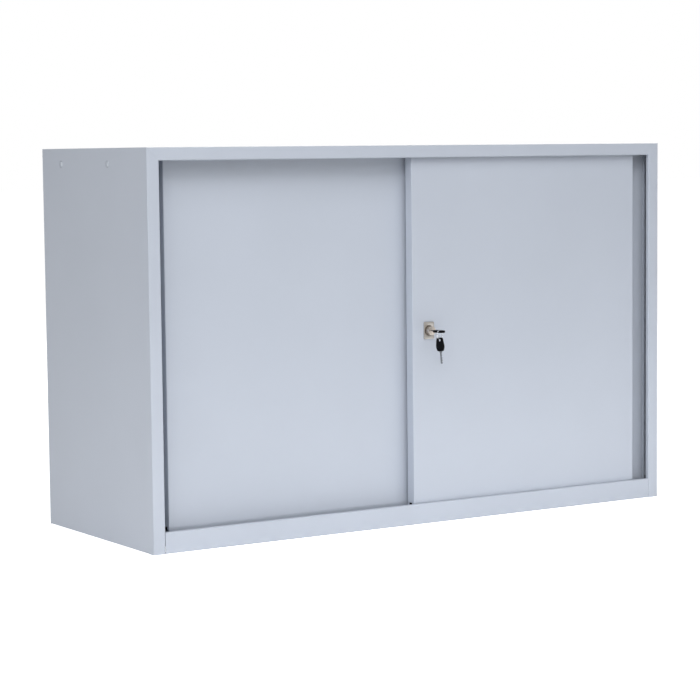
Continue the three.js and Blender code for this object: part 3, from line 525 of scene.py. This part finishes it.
def welded(node):
    """A copy of a CAD solid's mesh with its triangles joined."""
    mesh = frame["nodes"][node].data.copy()
    joined = bmesh.new()
    joined.from_mesh(mesh)
    bmesh.ops.remove_doubles(joined, verts=joined.verts, dist=WELD)
    joined.to_mesh(mesh)
    joined.free()
    return mesh


def dress(node, finish, slot, edge=0):
    """A smooth copy of a CAD solid, with its outer edges rounded by edge millimetres."""
    mesh = welded(node)
    shade(mesh, FOLD_ANGLE)
    piece = own(f"{node}_skin", mesh, finish, frame["nodes"][node]["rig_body"], slot, node)
    if edge:
        bevel = piece.modifiers.new("edge", "BEVEL")
        bevel.width, bevel.segments = edge * MM, 2
        bevel.limit_method, bevel.angle_limit = "ANGLE", math.radians(CORNER_ANGLE)
    weight = piece.modifiers.new("flat faces", "WEIGHTED_NORMAL")
    weight.keep_sharp = True
    return piece


print("an edge sharper than", FOLD_ANGLE, "degrees stays sharp")

# %% [markdown]
# **Carcass.** Six sheets, a stiffener and four uprights are folded and coated. The rails for the
# doors are bare aluminium, the shelf hangs on plated clips, and rubber buffers stop the doors.

# %% Carcass
CORNERS = [f"{side}_{row}" for side in ("left", "right") for row in ("front", "rear")]
folded = [
    "left_side_panel",
    "right_side_panel",
    "top_panel",
    "bottom_panel",
    "back_panel",
    "floor_stiffener",
    "shelf",
]
folded += [f"upright_{corner}" for corner in CORNERS]
for node in folded:
    dress(node, "powder_coated_steel", "powder_coat")
for node in ("bottom_rail_front", "bottom_rail_rear", "top_track"):
    dress(node, "natural_aluminium", "rail_aluminium")
for corner in CORNERS:
    dress(f"shelf_clip_{corner}", "zinc_plated_steel", "zinc_steel")
    dress(f"buffer_{corner}", "buffer_rubber", "rubber", edge=0.8)
print("carcass:", len(folded), "folded sheets, rails, clips and buffers")

# %% [markdown]
# **Doors.** The doors hang so low that the sill hides the bend along their foot, though the camera
# looks down a little. In the CAD model that bend just shows over the sill, as a dark line. So the
# lowest bend of each door's copy is let down by a few millimetres, still well above the rails.

# %% Doors
DOORS, ENDS = ("front_door", "rear_door"), ("inner", "outer")
LET_DOWN, BEND_ZONE = 3, 4
for door in DOORS:
    panel = dress(f"{door}_panel", "powder_coated_steel", "powder_coat").data
    foot = min(point.co.z for point in panel.vertices)
    for point in panel.vertices:
        if point.co.z < foot + BEND_ZONE * MM:
            point.co.z -= LET_DOWN * MM
    dress(f"{door}_stiffener", "powder_coated_steel", "powder_coat")
    for end in ENDS:
        dress(f"{door}_carriage_{end}", "moulded_black_abs", "black_plastic", edge=0.3)
        dress(f"{door}_guide_{end}", "natural_nylon", "nylon", edge=0.4)
        dress(f"{door}_axle_{end}", "zinc_plated_steel", "zinc_steel", edge=0.3)
dress("lock_nut", "zinc_plated_steel", "zinc_steel", edge=0.3)
dress("lock_keeper", "zinc_plated_steel", "zinc_steel", edge=0.15)
print("doors:", len(DOORS), "pans with their stiffeners, carriages, guides and axles")

# %% [markdown]
# ## Turned pieces
# A roller or a lock barrel is turned, so its shape is a profile carried round an axis. `skin` joins
# one ring of points to the next with faces. A ring of one point closes a pole, and a closed profile
# joins its last ring to its first.

# %% Rings and skins
CREASE_ANGLE = 35  # degrees between faces, past which an edge of a small piece is sharp


def settled(made):
    """The mesh of finished faces, with its normals outwards."""
    bmesh.ops.recalc_face_normals(made, faces=made.faces)
    mesh = bpy.data.meshes.new("made")
    made.to_mesh(mesh)
    made.free()
    return mesh


def skin(rings, closed=False, sharp=CREASE_ANGLE):
    """A mesh through rings of points, each the same length or a single point."""
    made = bmesh.new()
    rows = [[made.verts.new(point) for point in ring] for ring in rings]
    pairs = list(zip(rows, rows[1:])) + ([(rows[-1], rows[0])] if closed else [])
    for a, b in pairs:
        count = max(len(a), len(b))
        for i in range(count):
            j = (i + 1) % count
            around = (a[i % len(a)], a[j % len(a)], b[j % len(b)], b[i % len(b)])
            made.faces.new(dict.fromkeys(around))
    mesh = settled(made)
    shade(mesh, sharp)
    return mesh


def compass(count, radius):
    """Points round a flat circle about the origin."""
    angles = [2 * math.pi * i / count for i in range(count)]
    return [Vector((math.cos(angle), math.sin(angle))) * radius for angle in angles]


def circle(radius, x, y, z, count=64):
    """A ring about a line along Y, in millimetres. Radius 0 gives the single point of a pole."""
    return [Vector((x + p.x, y, z + p.y)) * MM for p in compass(count if radius else 1, radius)]


def turned(profile, x, y, z, count=64):
    """A turned mesh from a profile of radius and depth, about a line along Y from a point."""
    rings = [circle(radius, x, y + depth, z, count) for radius, depth in profile]
    return skin(rings, closed=profile[0][0] > 0)


print("a compass of 4 points has them at", [tuple(round(c) for c in p) for p in compass(4, 1)])

# %% [markdown]
# **Rollers.** Each wheel is moulded in nylon with a groove that straddles the round-topped rail,
# a recessed web and a hub round the axle. The groove and the outside follow the CAD sizes. One side
# of the profile is written down, as radius and place along the axle, and the other mirrors it.

# %% Rollers
one_side = [
    (2.6, -4), (4.6, -4), (5.0, -3.2), (8.4, -3.2), (8.8, -4), (11.2, -4), (11.8, -3.6),
    (12, -3.2), (9.2, -2.4), (9, -2.1),
]  # fmt: skip
wheel_profile = one_side + [(radius, -place) for radius, place in reversed(one_side)]
wheels = [f"{door}_wheel_{end}" for door in DOORS for end in ENDS]
for wheel in wheels:
    low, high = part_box(wheel)
    mesh = turned(wheel_profile, *((low + high) / 2 / MM))
    own(f"{wheel}_moulding", mesh, "natural_nylon", wheel, "nylon", wheel)
print(len(wheels), "grooved rollers")

# %% [markdown]
# ## Lock
# A push lock holds the front door: pressing its barrel sends a bolt behind the other door's keeper,
# and the key lets it out again. What shows is a rectangular plate with a funnel-shaped recess, the
# barrel that stands out of it, and the core with the key. The plate is skinned from its rounded
# outline to the round bore. For that, `spread` finds where rays from the axis cross the outline, so
# that outline and bore have the same number of points.

# %% Outlines with round corners
RAYS = 180
FAR = 200  # longer than any outline reaches from its middle


def rounded(corners, radius, steps=6):
    """The closed outline through corners that are rounded off from this far on each side."""
    points = []
    for i, corner in enumerate(corners):
        before = corner + (corners[i - 1] - corner).normalized() * radius
        after = corner + (corners[(i + 1) % len(corners)] - corner).normalized() * radius
        for k in range(steps + 1):
            t = k / steps
            points.append((1 - t) ** 2 * before + 2 * t * (1 - t) * corner + t * t * after)
    return points


def spread(outline):
    """The points where rays from the origin cross the outline."""
    sides = list(zip(outline, outline[1:] + outline[:1]))
    crossings = []
    for ray in compass(RAYS, FAR):
        hits = (intersect_line_line_2d((0, 0), ray, a, b) for a, b in sides)
        crossings.append(next(hit for hit in hits if hit))
    return crossings


def box_outline(width, height, radius):
    """A rectangle with round corners, about the origin."""
    x, z = width / 2, height / 2
    return rounded([Vector(c) for c in ((-x, -z), (x, -z), (x, z), (-x, z))], radius)


print("a plate outline has", len(box_outline(3, 4, 1)), "points, spread to", RAYS)

# %% [markdown]
# **Lock body.** The plate lies on the door's face, and the neck behind it passes through the door.
# Depths in the lock are counted from the cabinet's front plane. The plate's front edge is broken by
# a small round, and the bore opens as a funnel. Behind it follow the floor with the hole for the
# bolt and the outside of the neck.

# %% Lock body
low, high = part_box("lock_body")
LOCK_X, LOCK_Z = (low.x + high.x) / 2 / MM, (low.z + high.z) / 2 / MM
PLATE_WIDTH, LOCK_LENGTH, PLATE_HEIGHT = (round(size / MM, 2) for size in high - low)
FRONT = round(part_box("left_side_panel")[0].y / MM, 2)
PLATE_FRONT = round(low.y / MM - FRONT, 2)
PLATE_THICKNESS, PLATE_CORNER, FLOOR_THICKNESS = 2.4, 2.5, 1.2
PLATE_BACK = PLATE_FRONT + PLATE_THICKNESS
NECK_END = PLATE_FRONT + LOCK_LENGTH
NECK_FLOOR = NECK_END - FLOOR_THICKNESS
BORE, BOLT_HOLE, NECK = 9.05, 4.3, 11  # radii


def plate_ring(shrink, depth):
    """The plate's outline drawn in by shrink, at a depth behind the front plane."""
    outline = box_outline(PLATE_WIDTH - 2 * shrink, PLATE_HEIGHT - 2 * shrink, PLATE_CORNER)
    return [Vector((LOCK_X + p.x, FRONT + depth, LOCK_Z + p.y)) * MM for p in spread(outline)]


def lock_ring(radius, depth):
    """A circle on the lock's axis, at a depth behind the front plane."""
    return circle(radius, LOCK_X, FRONT + depth, LOCK_Z, RAYS)


plate_edge = [(0, PLATE_BACK), (0, 12.1), (0.1, 11.75), (0.35, 11.5), (0.7, PLATE_FRONT)]
bore_and_neck = [
    (10.4, PLATE_FRONT), (10.1, 11.55), (BORE, 12.8), (BORE, NECK_FLOOR), (BOLT_HOLE, NECK_FLOOR),
    (BOLT_HOLE, NECK_END), (NECK, NECK_END), (NECK, PLATE_BACK),
]  # fmt: skip
rings = [plate_ring(*point) for point in plate_edge]
rings += [lock_ring(*point) for point in bore_and_neck]
mesh = skin(rings, closed=True)
own("lock_plate_and_neck", mesh, "brushed_nickel", "front_door", "nickel", "lock_body")
print("lock plate", PLATE_WIDTH, "x", PLATE_HEIGHT, "mm with its bore")

# %% [markdown]
# **Barrel and core.** Both are turned. The barrel is bored for the core and ends in the bolt. The
# core gets its keyway by a boolean, as a broach cuts it in the real one.

# %% Barrel
CORE_HOLE, BARREL, STEM, BOLT = 5.7, 8.75, 6.75, 4  # radii
barrel_profile = [
    (0, 20.5), (CORE_HOLE, 20.5), (CORE_HOLE, 1.6), (5.9, 1.4), (7.9, 1.4), (8.4, 1.55),
    (8.68, 1.95), (BARREL, 2.5), (BARREL, 13.9), (STEM, 13.9), (STEM, 21.3), (BOLT, 21.3),
    (BOLT, 30.9), (3.4, 31.5), (0, 31.5),
]  # fmt: skip
mesh = turned(barrel_profile, LOCK_X, FRONT, LOCK_Z, RAYS)
own("lock_barrel", mesh, "turned_nickel", "lock_plunger", "nickel", "lock_plunger")
print("barrel", 2 * BARREL, "mm across")


# %% Core
def block(size, centre):
    """A box of this size about a centre, in millimetres, to cut with."""
    made = bmesh.new()
    stretch = Matrix.Diagonal([side * MM for side in size] + [1])
    bmesh.ops.create_cube(made, size=1, matrix=Matrix.Translation(Vector(centre) * MM) @ stretch)
    return settled(made)


def cut_out(mesh, cutter_mesh):
    """The mesh less the cutter, by Blender's exact boolean."""
    body = bpy.data.objects.new("body", mesh)
    cutter = bpy.data.objects.new("cutter", cutter_mesh)
    for thing in (body, cutter):
        bpy.context.scene.collection.objects.link(thing)
    tool = body.modifiers.new("cut", "BOOLEAN")
    tool.operation, tool.solver, tool.object = "DIFFERENCE", "EXACT", cutter
    shown = body.evaluated_get(bpy.context.evaluated_depsgraph_get())
    result = bpy.data.meshes.new_from_object(shown)
    for thing in (body, cutter):
        bpy.data.objects.remove(thing)
    return result


CORE = 5.5  # its radius
KEYWAY, KEYWAY_PLACE = (4.4, 40, 2.2), (LOCK_X, FRONT + 10, LOCK_Z)
core_profile = [(0, 1), (5.0, 1), (5.3, 1.08), (CORE, 1.35), (CORE, 20), (0, 20)]
core = turned(core_profile, LOCK_X, FRONT, LOCK_Z, RAYS)
mesh = cut_out(core, block(KEYWAY, KEYWAY_PLACE))
shade(mesh, CREASE_ANGLE)
own("lock_core_turning", mesh, "turned_nickel", "lock_core", "nickel", "lock_core")
print("core with a keyway", KEYWAY[0], "x", KEYWAY[2], "mm")

# %% [markdown]
# ## Keys
# One key is in the lock and its spare hangs from the ring. Both are the same: a steel blade with
# bitting along one edge and a milled groove, moulded into a black bow. A key is made once, lying
# along Y with its root at the origin and its blade towards -Y, and a matrix puts it in its place.
# The ring goes through the eye of the first key, turned a little, and the spare hangs from the
# ring's lowest point, with one flat side to the front left and leaning a little.

# %% Where the keys go
ROOT = round(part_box("key_bow")[1].y / MM, 2)
EYE_PLACE = 22.0  # from the root to the middle of the bow's eye
RING_RADIUS, RING_TURN = 9, 22
SPARE_TURN, SPARE_LEAN, SPARE_DROP = -64, -5.5, 1.5


def turn_about(axis, degrees):
    """A rotation about an axis."""
    return Matrix.Rotation(math.radians(degrees), 4, axis)


in_lock = Matrix.Translation((LOCK_X, ROOT, LOCK_Z)) @ turn_about("Z", 180)
in_eye = Matrix.Translation((LOCK_X, ROOT - EYE_PLACE, LOCK_Z)) @ turn_about("Z", RING_TURN)
RING_CENTRE = Vector((-6.5, 0, -5.5))  # as seen from the eye
hanging = (
    in_eye
    @ Matrix.Translation(RING_CENTRE - Vector((0, 0, RING_RADIUS + SPARE_DROP)))
    @ turn_about("Z", SPARE_TURN - RING_TURN)
    @ turn_about("Y", SPARE_LEAN)
    @ Matrix.Translation((0, 0, -EYE_PLACE))
    @ turn_about("X", 90)
)
print("the spare key's root is at", [round(c, 1) for c in hanging.translation], "mm")

# %% [markdown]
# **Bow.** It is widest near its root, with rounded corners and edges, and has an eye for the ring.
# It is skinned like the plate, with rays from the middle of the eye.

# %% Bow
BOW_SIDE = [(6.5, 0), (9, 9), (6.25, 27)]  # one side, as half width and place from the root
BOW_CORNER, EYE_RADIUS, EYE_ROUND = 3, 2.6, 0.25
BOW_EDGE = [(0.9, 2.2), (0.45, 2.1), (0.12, 1.8), (0, 1.3)]  # drawn in, at this height


def bow_ring(shrink, height):
    """The bow's outline drawn in by shrink, at a height over the key's middle."""
    (root, start), (widest, bulge), (tip, end) = BOW_SIDE
    side = [(root, start + shrink), (widest, bulge), (tip, end - shrink)]
    corners = [Vector((half - shrink, along)) for half, along in side]
    corners += [Vector((-corner.x, corner.y)) for corner in reversed(corners)]
    outline = [p - Vector((0, EYE_PLACE)) for p in rounded(corners, BOW_CORNER)]
    return [Vector((p.x, EYE_PLACE + p.y, height)) * MM for p in spread(outline)]


def eye_ring(radius, height):
    """A circle round the eye, at a height over the key's middle."""
    return [Vector((p.x, EYE_PLACE + p.y, height)) * MM for p in compass(RAYS, radius)]


def bow_mesh():
    """The moulded bow, from its lower face round the outside to its upper face and the eye."""
    face = BOW_EDGE[0][1]
    rings = [bow_ring(shrink, -height) for shrink, height in BOW_EDGE]
    rings += [bow_ring(shrink, height) for shrink, height in reversed(BOW_EDGE)]
    rings += [eye_ring(EYE_RADIUS + EYE_ROUND, face), eye_ring(EYE_RADIUS, face - EYE_ROUND)]
    rings += [eye_ring(EYE_RADIUS, EYE_ROUND - face), eye_ring(EYE_RADIUS + EYE_ROUND, -face)]
    return skin(rings, closed=True, sharp=50)


print("bow", 2 * BOW_SIDE[1][0], "mm wide and", 2 * BOW_EDGE[0][1], "mm thick")

# %% [markdown]
# **Blade.** It is stamped from strip, with a wider tongue that the bow is moulded round, shoulders
# that stop it in the lock, and a chamfered tip. The cuts in one edge are milled, and so is the
# groove along one face, which is cut here by the same boolean as the keyway.

# %% Blade
BLADE, TONGUE = 1.9, 2.7  # half widths
TONGUE_END, SHOULDER, TIP, CHAMFER = 9, -2.4, -24.5, 1.2
CUTS = (0.9, 0.55, 0.9, 0.55)
THICKNESS = 1.6
GROOVE_SIZE, GROOVE_PLACE = (0.9, 19, 0.8), (-0.5, -13.4, THICKNESS / 2)


def blade_outline():
    """The blade's outline in millimetres: tongue, shoulders, tip and the cuts in one edge."""
    left = [(TONGUE, TONGUE_END), (-TONGUE, TONGUE_END), (-TONGUE, SHOULDER), (-BLADE, SHOULDER)]
    foot = TIP + CHAMFER
    tip = [(-BLADE, foot), (CHAMFER - BLADE, TIP), (BLADE - CHAMFER, TIP), (BLADE, foot)]
    span = (SHOULDER - foot - CHAMFER) / len(CUTS)
    cuts = []
    for i, depth in enumerate(CUTS):
        y = [foot + (i + share) * span for share in (0.25, 0.5, 0.7, 0.95)]
        cuts += [(BLADE, y[0]), (BLADE - depth, y[1]), (BLADE - depth, y[2]), (BLADE, y[3])]
    return left + tip + cuts + [(BLADE, SHOULDER), (TONGUE, SHOULDER)]


def blade_mesh():
    """The blade with its groove."""
    made = bmesh.new()
    under = -THICKNESS / 2 * MM
    made.faces.new([made.verts.new((x * MM, y * MM, under)) for x, y in blade_outline()])
    grown = bmesh.ops.extrude_face_region(made, geom=made.faces[:])["geom"]
    lifted = [part for part in grown if isinstance(part, bmesh.types.BMVert)]
    bmesh.ops.translate(made, verts=lifted, vec=(0, 0, THICKNESS * MM))
    return cut_out(settled(made), block(GROOVE_SIZE, GROOVE_PLACE))


print("blade outline of", len(blade_outline()), "points")

# %% [markdown]
# **Both keys.** A bow and a blade are made for each and moved to their place. Tumbling in grit takes
# the burrs off a real blade, which a very thin bevel shows here as a glint along its edges.

# %% Both keys
TUMBLED = 0.12  # how far tumbling rounds the blade's edges


def placed(mesh, matrix):
    """The mesh moved by a matrix whose lengths are in millimetres."""
    move = matrix.copy()
    move.translation *= MM
    mesh.transform(move)
    return mesh


for key, where in (("key", in_lock), ("spare_key", hanging)):
    bow = placed(bow_mesh(), where)
    own(f"{key}_bow_moulding", bow, "moulded_black_abs", key, "black_plastic", f"{key}_bow")
    blade = placed(blade_mesh(), where)
    shade(blade, sharp=25)
    piece = own(
        f"{key}_blade_milled", blade, "milled_key_steel", key, "key_steel", f"{key}_blade"
    )
    bevel = piece.modifiers.new("tumbled edge", "BEVEL")
    bevel.width, bevel.segments, bevel.limit_method = TUMBLED * MM, 2, "ANGLE"
print("2 keys")

# %% [markdown]
# ## What repeats
# Rivets, and the turns of a coil, follow a rule, so Geometry Nodes make them. A tree has named
# inputs for its sizes. `grow` sets them on a modifier, and keeps the result as a plain mesh.

# %% Grow a mesh from a node tree
def new_tree(name, **sizes):
    """A geometry tree with one named input for each size, and the sockets that give them."""
    tree = bpy.data.node_groups.new(name, "GeometryNodeTree")
    tree.interface.new_socket("Geometry", in_out="OUTPUT", socket_type="NodeSocketGeometry")
    for label, kind in {**sizes, "material": "Material"}.items():
        tree.interface.new_socket(label, in_out="INPUT", socket_type=f"NodeSocket{kind}")
    return tree, put(tree, "NodeGroupInput").outputs


def end_tree(tree, given, geometry):
    """Ends a tree in plain faces with the material that its input names."""
    plain = put(tree, "GeometryNodeRealizeInstances", {"Geometry": geometry})
    applied = put(
        tree,
        "GeometryNodeSetMaterial",
        {"Geometry": plain.outputs["Geometry"], "Material": given["material"]},
    )
    put(tree, "NodeGroupOutput", {"Geometry": applied.outputs["Geometry"]})


def grow(tree, **values):
    """The mesh that a tree makes with these values for its inputs."""
    seed = bpy.data.objects.new("seed", bpy.data.meshes.new("seed"))
    bpy.context.scene.collection.objects.link(seed)
    growth = seed.modifiers.new("growth", "NODES")
    growth.node_group = tree
    for item in tree.interface.items_tree:
        if item.in_out == "INPUT":
            growth[item.identifier] = values[item.name]
    shown = seed.evaluated_get(bpy.context.evaluated_depsgraph_get())
    mesh = bpy.data.meshes.new_from_object(shown)
    seed.modifiers.remove(growth)
    bpy.data.objects.remove(seed)
    return mesh


print("trees so far:", len(bpy.data.node_groups))

# %% [markdown]
# **Rivets.** A rivet has a domed head, a shank and an upset tail. The head is a sphere pressed
# flat, the shank a plain cylinder and the tail a short cone, so primitive nodes are enough.

# %% One rivet
SIDES = 24
rivet_row, given = new_tree(
    "rivet_row",
    count="Int",
    first="Vector",
    step="Vector",
    turn="Rotation",
    head_radius="Float",
    head_height="Float",
    shank_radius="Float",
    grip="Float",
    tail_radius="Float",
    tail_height="Float",
)


def stub(radius_top, radius_bottom, length, top):
    """A closed cone on the rivet's axis that ends at a height above its seat."""
    body = put(
        rivet_row,
        "GeometryNodeMeshCone",
        {
            "Vertices": SIDES,
            "Radius Top": radius_top,
            "Radius Bottom": radius_bottom,
            "Depth": length,
        },
    )
    below = put(rivet_row, "ShaderNodeMath", {0: top, 1: length}, operation="SUBTRACT")
    where = put(rivet_row, "ShaderNodeCombineXYZ", {"Z": below.outputs[0]})
    return put(
        rivet_row,
        "GeometryNodeTransform",
        {"Geometry": body.outputs["Mesh"], "Translation": where.outputs["Vector"]},
    ).outputs["Geometry"]


ball = put(
    rivet_row,
    "GeometryNodeMeshUVSphere",
    {"Segments": SIDES, "Rings": SIDES // 2, "Radius": given["head_radius"]},
)
press = put(
    rivet_row,
    "ShaderNodeMath",
    {0: given["head_height"], 1: given["head_radius"]},
    operation="DIVIDE",
)
flat = put(rivet_row, "ShaderNodeCombineXYZ", {"X": 1.0, "Y": 1.0, "Z": press.outputs[0]})
head = put(
    rivet_row,
    "GeometryNodeTransform",
    {"Geometry": ball.outputs["Mesh"], "Scale": flat.outputs["Vector"]},
)
foot = put(rivet_row, "ShaderNodeMath", {0: 0.0, 1: given["grip"]}, operation="SUBTRACT")
shank = stub(given["shank_radius"], given["shank_radius"], given["grip"], 0.0)
tail = stub(given["tail_radius"], given["shank_radius"], given["tail_height"], foot.outputs[0])
rivet = put(rivet_row, "GeometryNodeJoinGeometry")
for part in (tail, shank, head.outputs["Geometry"]):
    rivet_row.links.new(part, rivet.inputs["Geometry"])
print("one rivet takes", len(rivet_row.nodes), "nodes")

# %% [markdown]
# The tree stands a row of rivets on a line of points, turned so that their heads face out. The
# rows differ only in their sizes, so one function grows them all.

# %% A row of rivets
row = put(
    rivet_row,
    "GeometryNodeMeshLine",
    {"Count": given["count"], "Start Location": given["first"], "Offset": given["step"]},
)
stood = put(
    rivet_row,
    "GeometryNodeInstanceOnPoints",
    {
        "Points": row.outputs["Mesh"],
        "Instance": rivet.outputs["Geometry"],
        "Rotation": given["turn"],
    },
)
end_tree(rivet_row, given, stood.outputs["Instances"])


def rivets(name, finish, slot, sizes, nodes=(), **line):
    """A row of rivets with these sizes in millimetres, as one piece of the carcass."""
    lengths = {label: size * MM for label, size in sizes.items()}
    mesh = grow(rivet_row, material=finishes[finish], **lengths, **line)
    shade(mesh, CREASE_ANGLE)
    own(name, mesh, finish, "carcass", slot, *nodes)


print("the whole tree has", len(rivet_row.nodes), "nodes")

# %% [markdown]
# Two enamelled rivets sit in the dimples of each side. Two rows of small plated ones hold the back
# panel, a little in from its top and its foot.

# %% Rivets in the sides and along the back
DIMPLE_DEPTH = 2.4
side_rivet = {
    "head_radius": 5.3,
    "head_height": 2.0,
    "shank_radius": 2.3,
    "grip": 2.4,
    "tail_radius": 3.8,
    "tail_height": 3.4,
}
for side, hand in (("left", -1), ("right", 1)):
    nodes = (f"side_rivet_{side}_front", f"side_rivet_{side}_rear")
    low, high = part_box(nodes[0])
    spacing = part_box(nodes[1])[0].y - low.y
    middle = (low + high) / 2
    rivets(
        f"side_rivets_{side}",
        "enamel_with_painted_highlight",
        "powder_coat",
        side_rivet,
        nodes,
        count=len(nodes),
        first=(hand * (cad_box[1][0] - DIMPLE_DEPTH * MM), middle.y, middle.z),
        step=(0, spacing, 0),
        turn=(0, hand * math.pi / 2, 0),
    )

BACK_COUNT, BACK_STEP = 7, 180
FROM_TOP, FROM_FOOT = 9, 14
back_rivet = {
    "head_radius": 3.2,
    "head_height": 1.1,
    "shank_radius": 1.6,
    "grip": 2.2,
    "tail_radius": 2.1,
    "tail_height": 2.0,
}
low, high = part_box("back_panel")
for edge, level in (("top", high.z - FROM_TOP * MM), ("foot", low.z + FROM_FOOT * MM)):
    rivets(
        f"back_rivets_{edge}",
        "zinc_plated_steel",
        "zinc_steel",
        back_rivet,
        count=BACK_COUNT,
        first=(-BACK_STEP * (BACK_COUNT - 1) / 2 * MM, high.y, level),
        step=(BACK_STEP * MM, 0, 0),
        turn=(-math.pi / 2, 0, 0),
    )
print("rivets: 2 in each side, and 2 rows of", BACK_COUNT, "in the back")

# %% [markdown]
# **Coils.** A key ring is a steel wire wound twice round, so that a key can be fed on, and the
# lock's spring is wound with a wider pitch. One tree makes both: a spiral with a round wire along
# it.

# %% A wound wire
wound_wire, given = new_tree(
    "wound_wire",
    turns="Float",
    radius="Float",
    height="Float",
    wire_radius="Float",
    turn="Rotation",
    centre="Vector",
)
path = put(
    wound_wire,
    "GeometryNodeCurveSpiral",
    {
        "Resolution": 48,
        "Rotations": given["turns"],
        "Start Radius": given["radius"],
        "End Radius": given["radius"],
        "Height": given["height"],
    },
)
half = put(wound_wire, "ShaderNodeMath", {0: given["height"], 1: -0.5}, operation="MULTIPLY")
down = put(wound_wire, "ShaderNodeCombineXYZ", {"Z": half.outputs[0]})
middled = put(
    wound_wire,
    "GeometryNodeTransform",
    {"Geometry": path.outputs["Curve"], "Translation": down.outputs["Vector"]},
)
section = put(
    wound_wire,
    "GeometryNodeCurvePrimitiveCircle",
    {"Resolution": 12, "Radius": given["wire_radius"]},
)
wire = put(
    wound_wire,
    "GeometryNodeCurveToMesh",
    {
        "Curve": middled.outputs["Geometry"],
        "Profile Curve": section.outputs["Curve"],
        "Fill Caps": True,
    },
)
moved = put(
    wound_wire,
    "GeometryNodeTransform",
    {
        "Geometry": wire.outputs["Mesh"],
        "Translation": given["centre"],
        "Rotation": given["turn"],
    },
)
end_tree(wound_wire, given, moved.outputs["Geometry"])
print("the wire's tree has", len(wound_wire.nodes), "nodes")

# %% [markdown]
# **Key ring.** Its two turns lie close together. The spiral is wound about Z, so it is tipped up by
# a right angle and then turned with the ring.

# %% Key ring
mesh = grow(
    wound_wire,
    turns=2.0,
    radius=RING_RADIUS * MM,
    height=1.5 * MM,
    wire_radius=0.37 * MM,
    turn=(math.pi / 2, 0, math.radians(RING_TURN)),
    centre=in_eye @ RING_CENTRE * MM,
    material=finishes["bright_ring_wire"],
)
shade(mesh, sharp=50)
own("split_ring", mesh, "bright_ring_wire", "key_ring", "key_steel", "key_ring")
print("key ring", 2 * RING_RADIUS, "mm across")

# %% [markdown]
# **Lock spring.** It sits between the lock body's floor and the barrel and pushes the barrel out.

# %% Lock spring
SPRING_WIRE = 0.4
low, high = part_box("lock_spring")
middle = (low + high) / 2
mesh = grow(
    wound_wire,
    turns=4.0,
    radius=(high.x - low.x) / 2 - SPRING_WIRE * MM,
    height=high.y - low.y - 2 * SPRING_WIRE * MM,
    wire_radius=SPRING_WIRE * MM,
    turn=(math.pi / 2, 0, 0),
    centre=middle,
    material=finishes["zinc_plated_steel"],
)
shade(mesh, sharp=50)
spring = own("lock_spring_coil", mesh, "zinc_plated_steel", None, "zinc_steel", "lock_spring")
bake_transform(spring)
print("the spring is", round((high.y - low.y) / MM, 1), "mm long at rest")

# %% [markdown]
# ## Sizes
# The CAD model's box is printed.

# %% Size of the CAD model
print("CAD box", [[round(v, 4) for v in c] for c in cad_box])
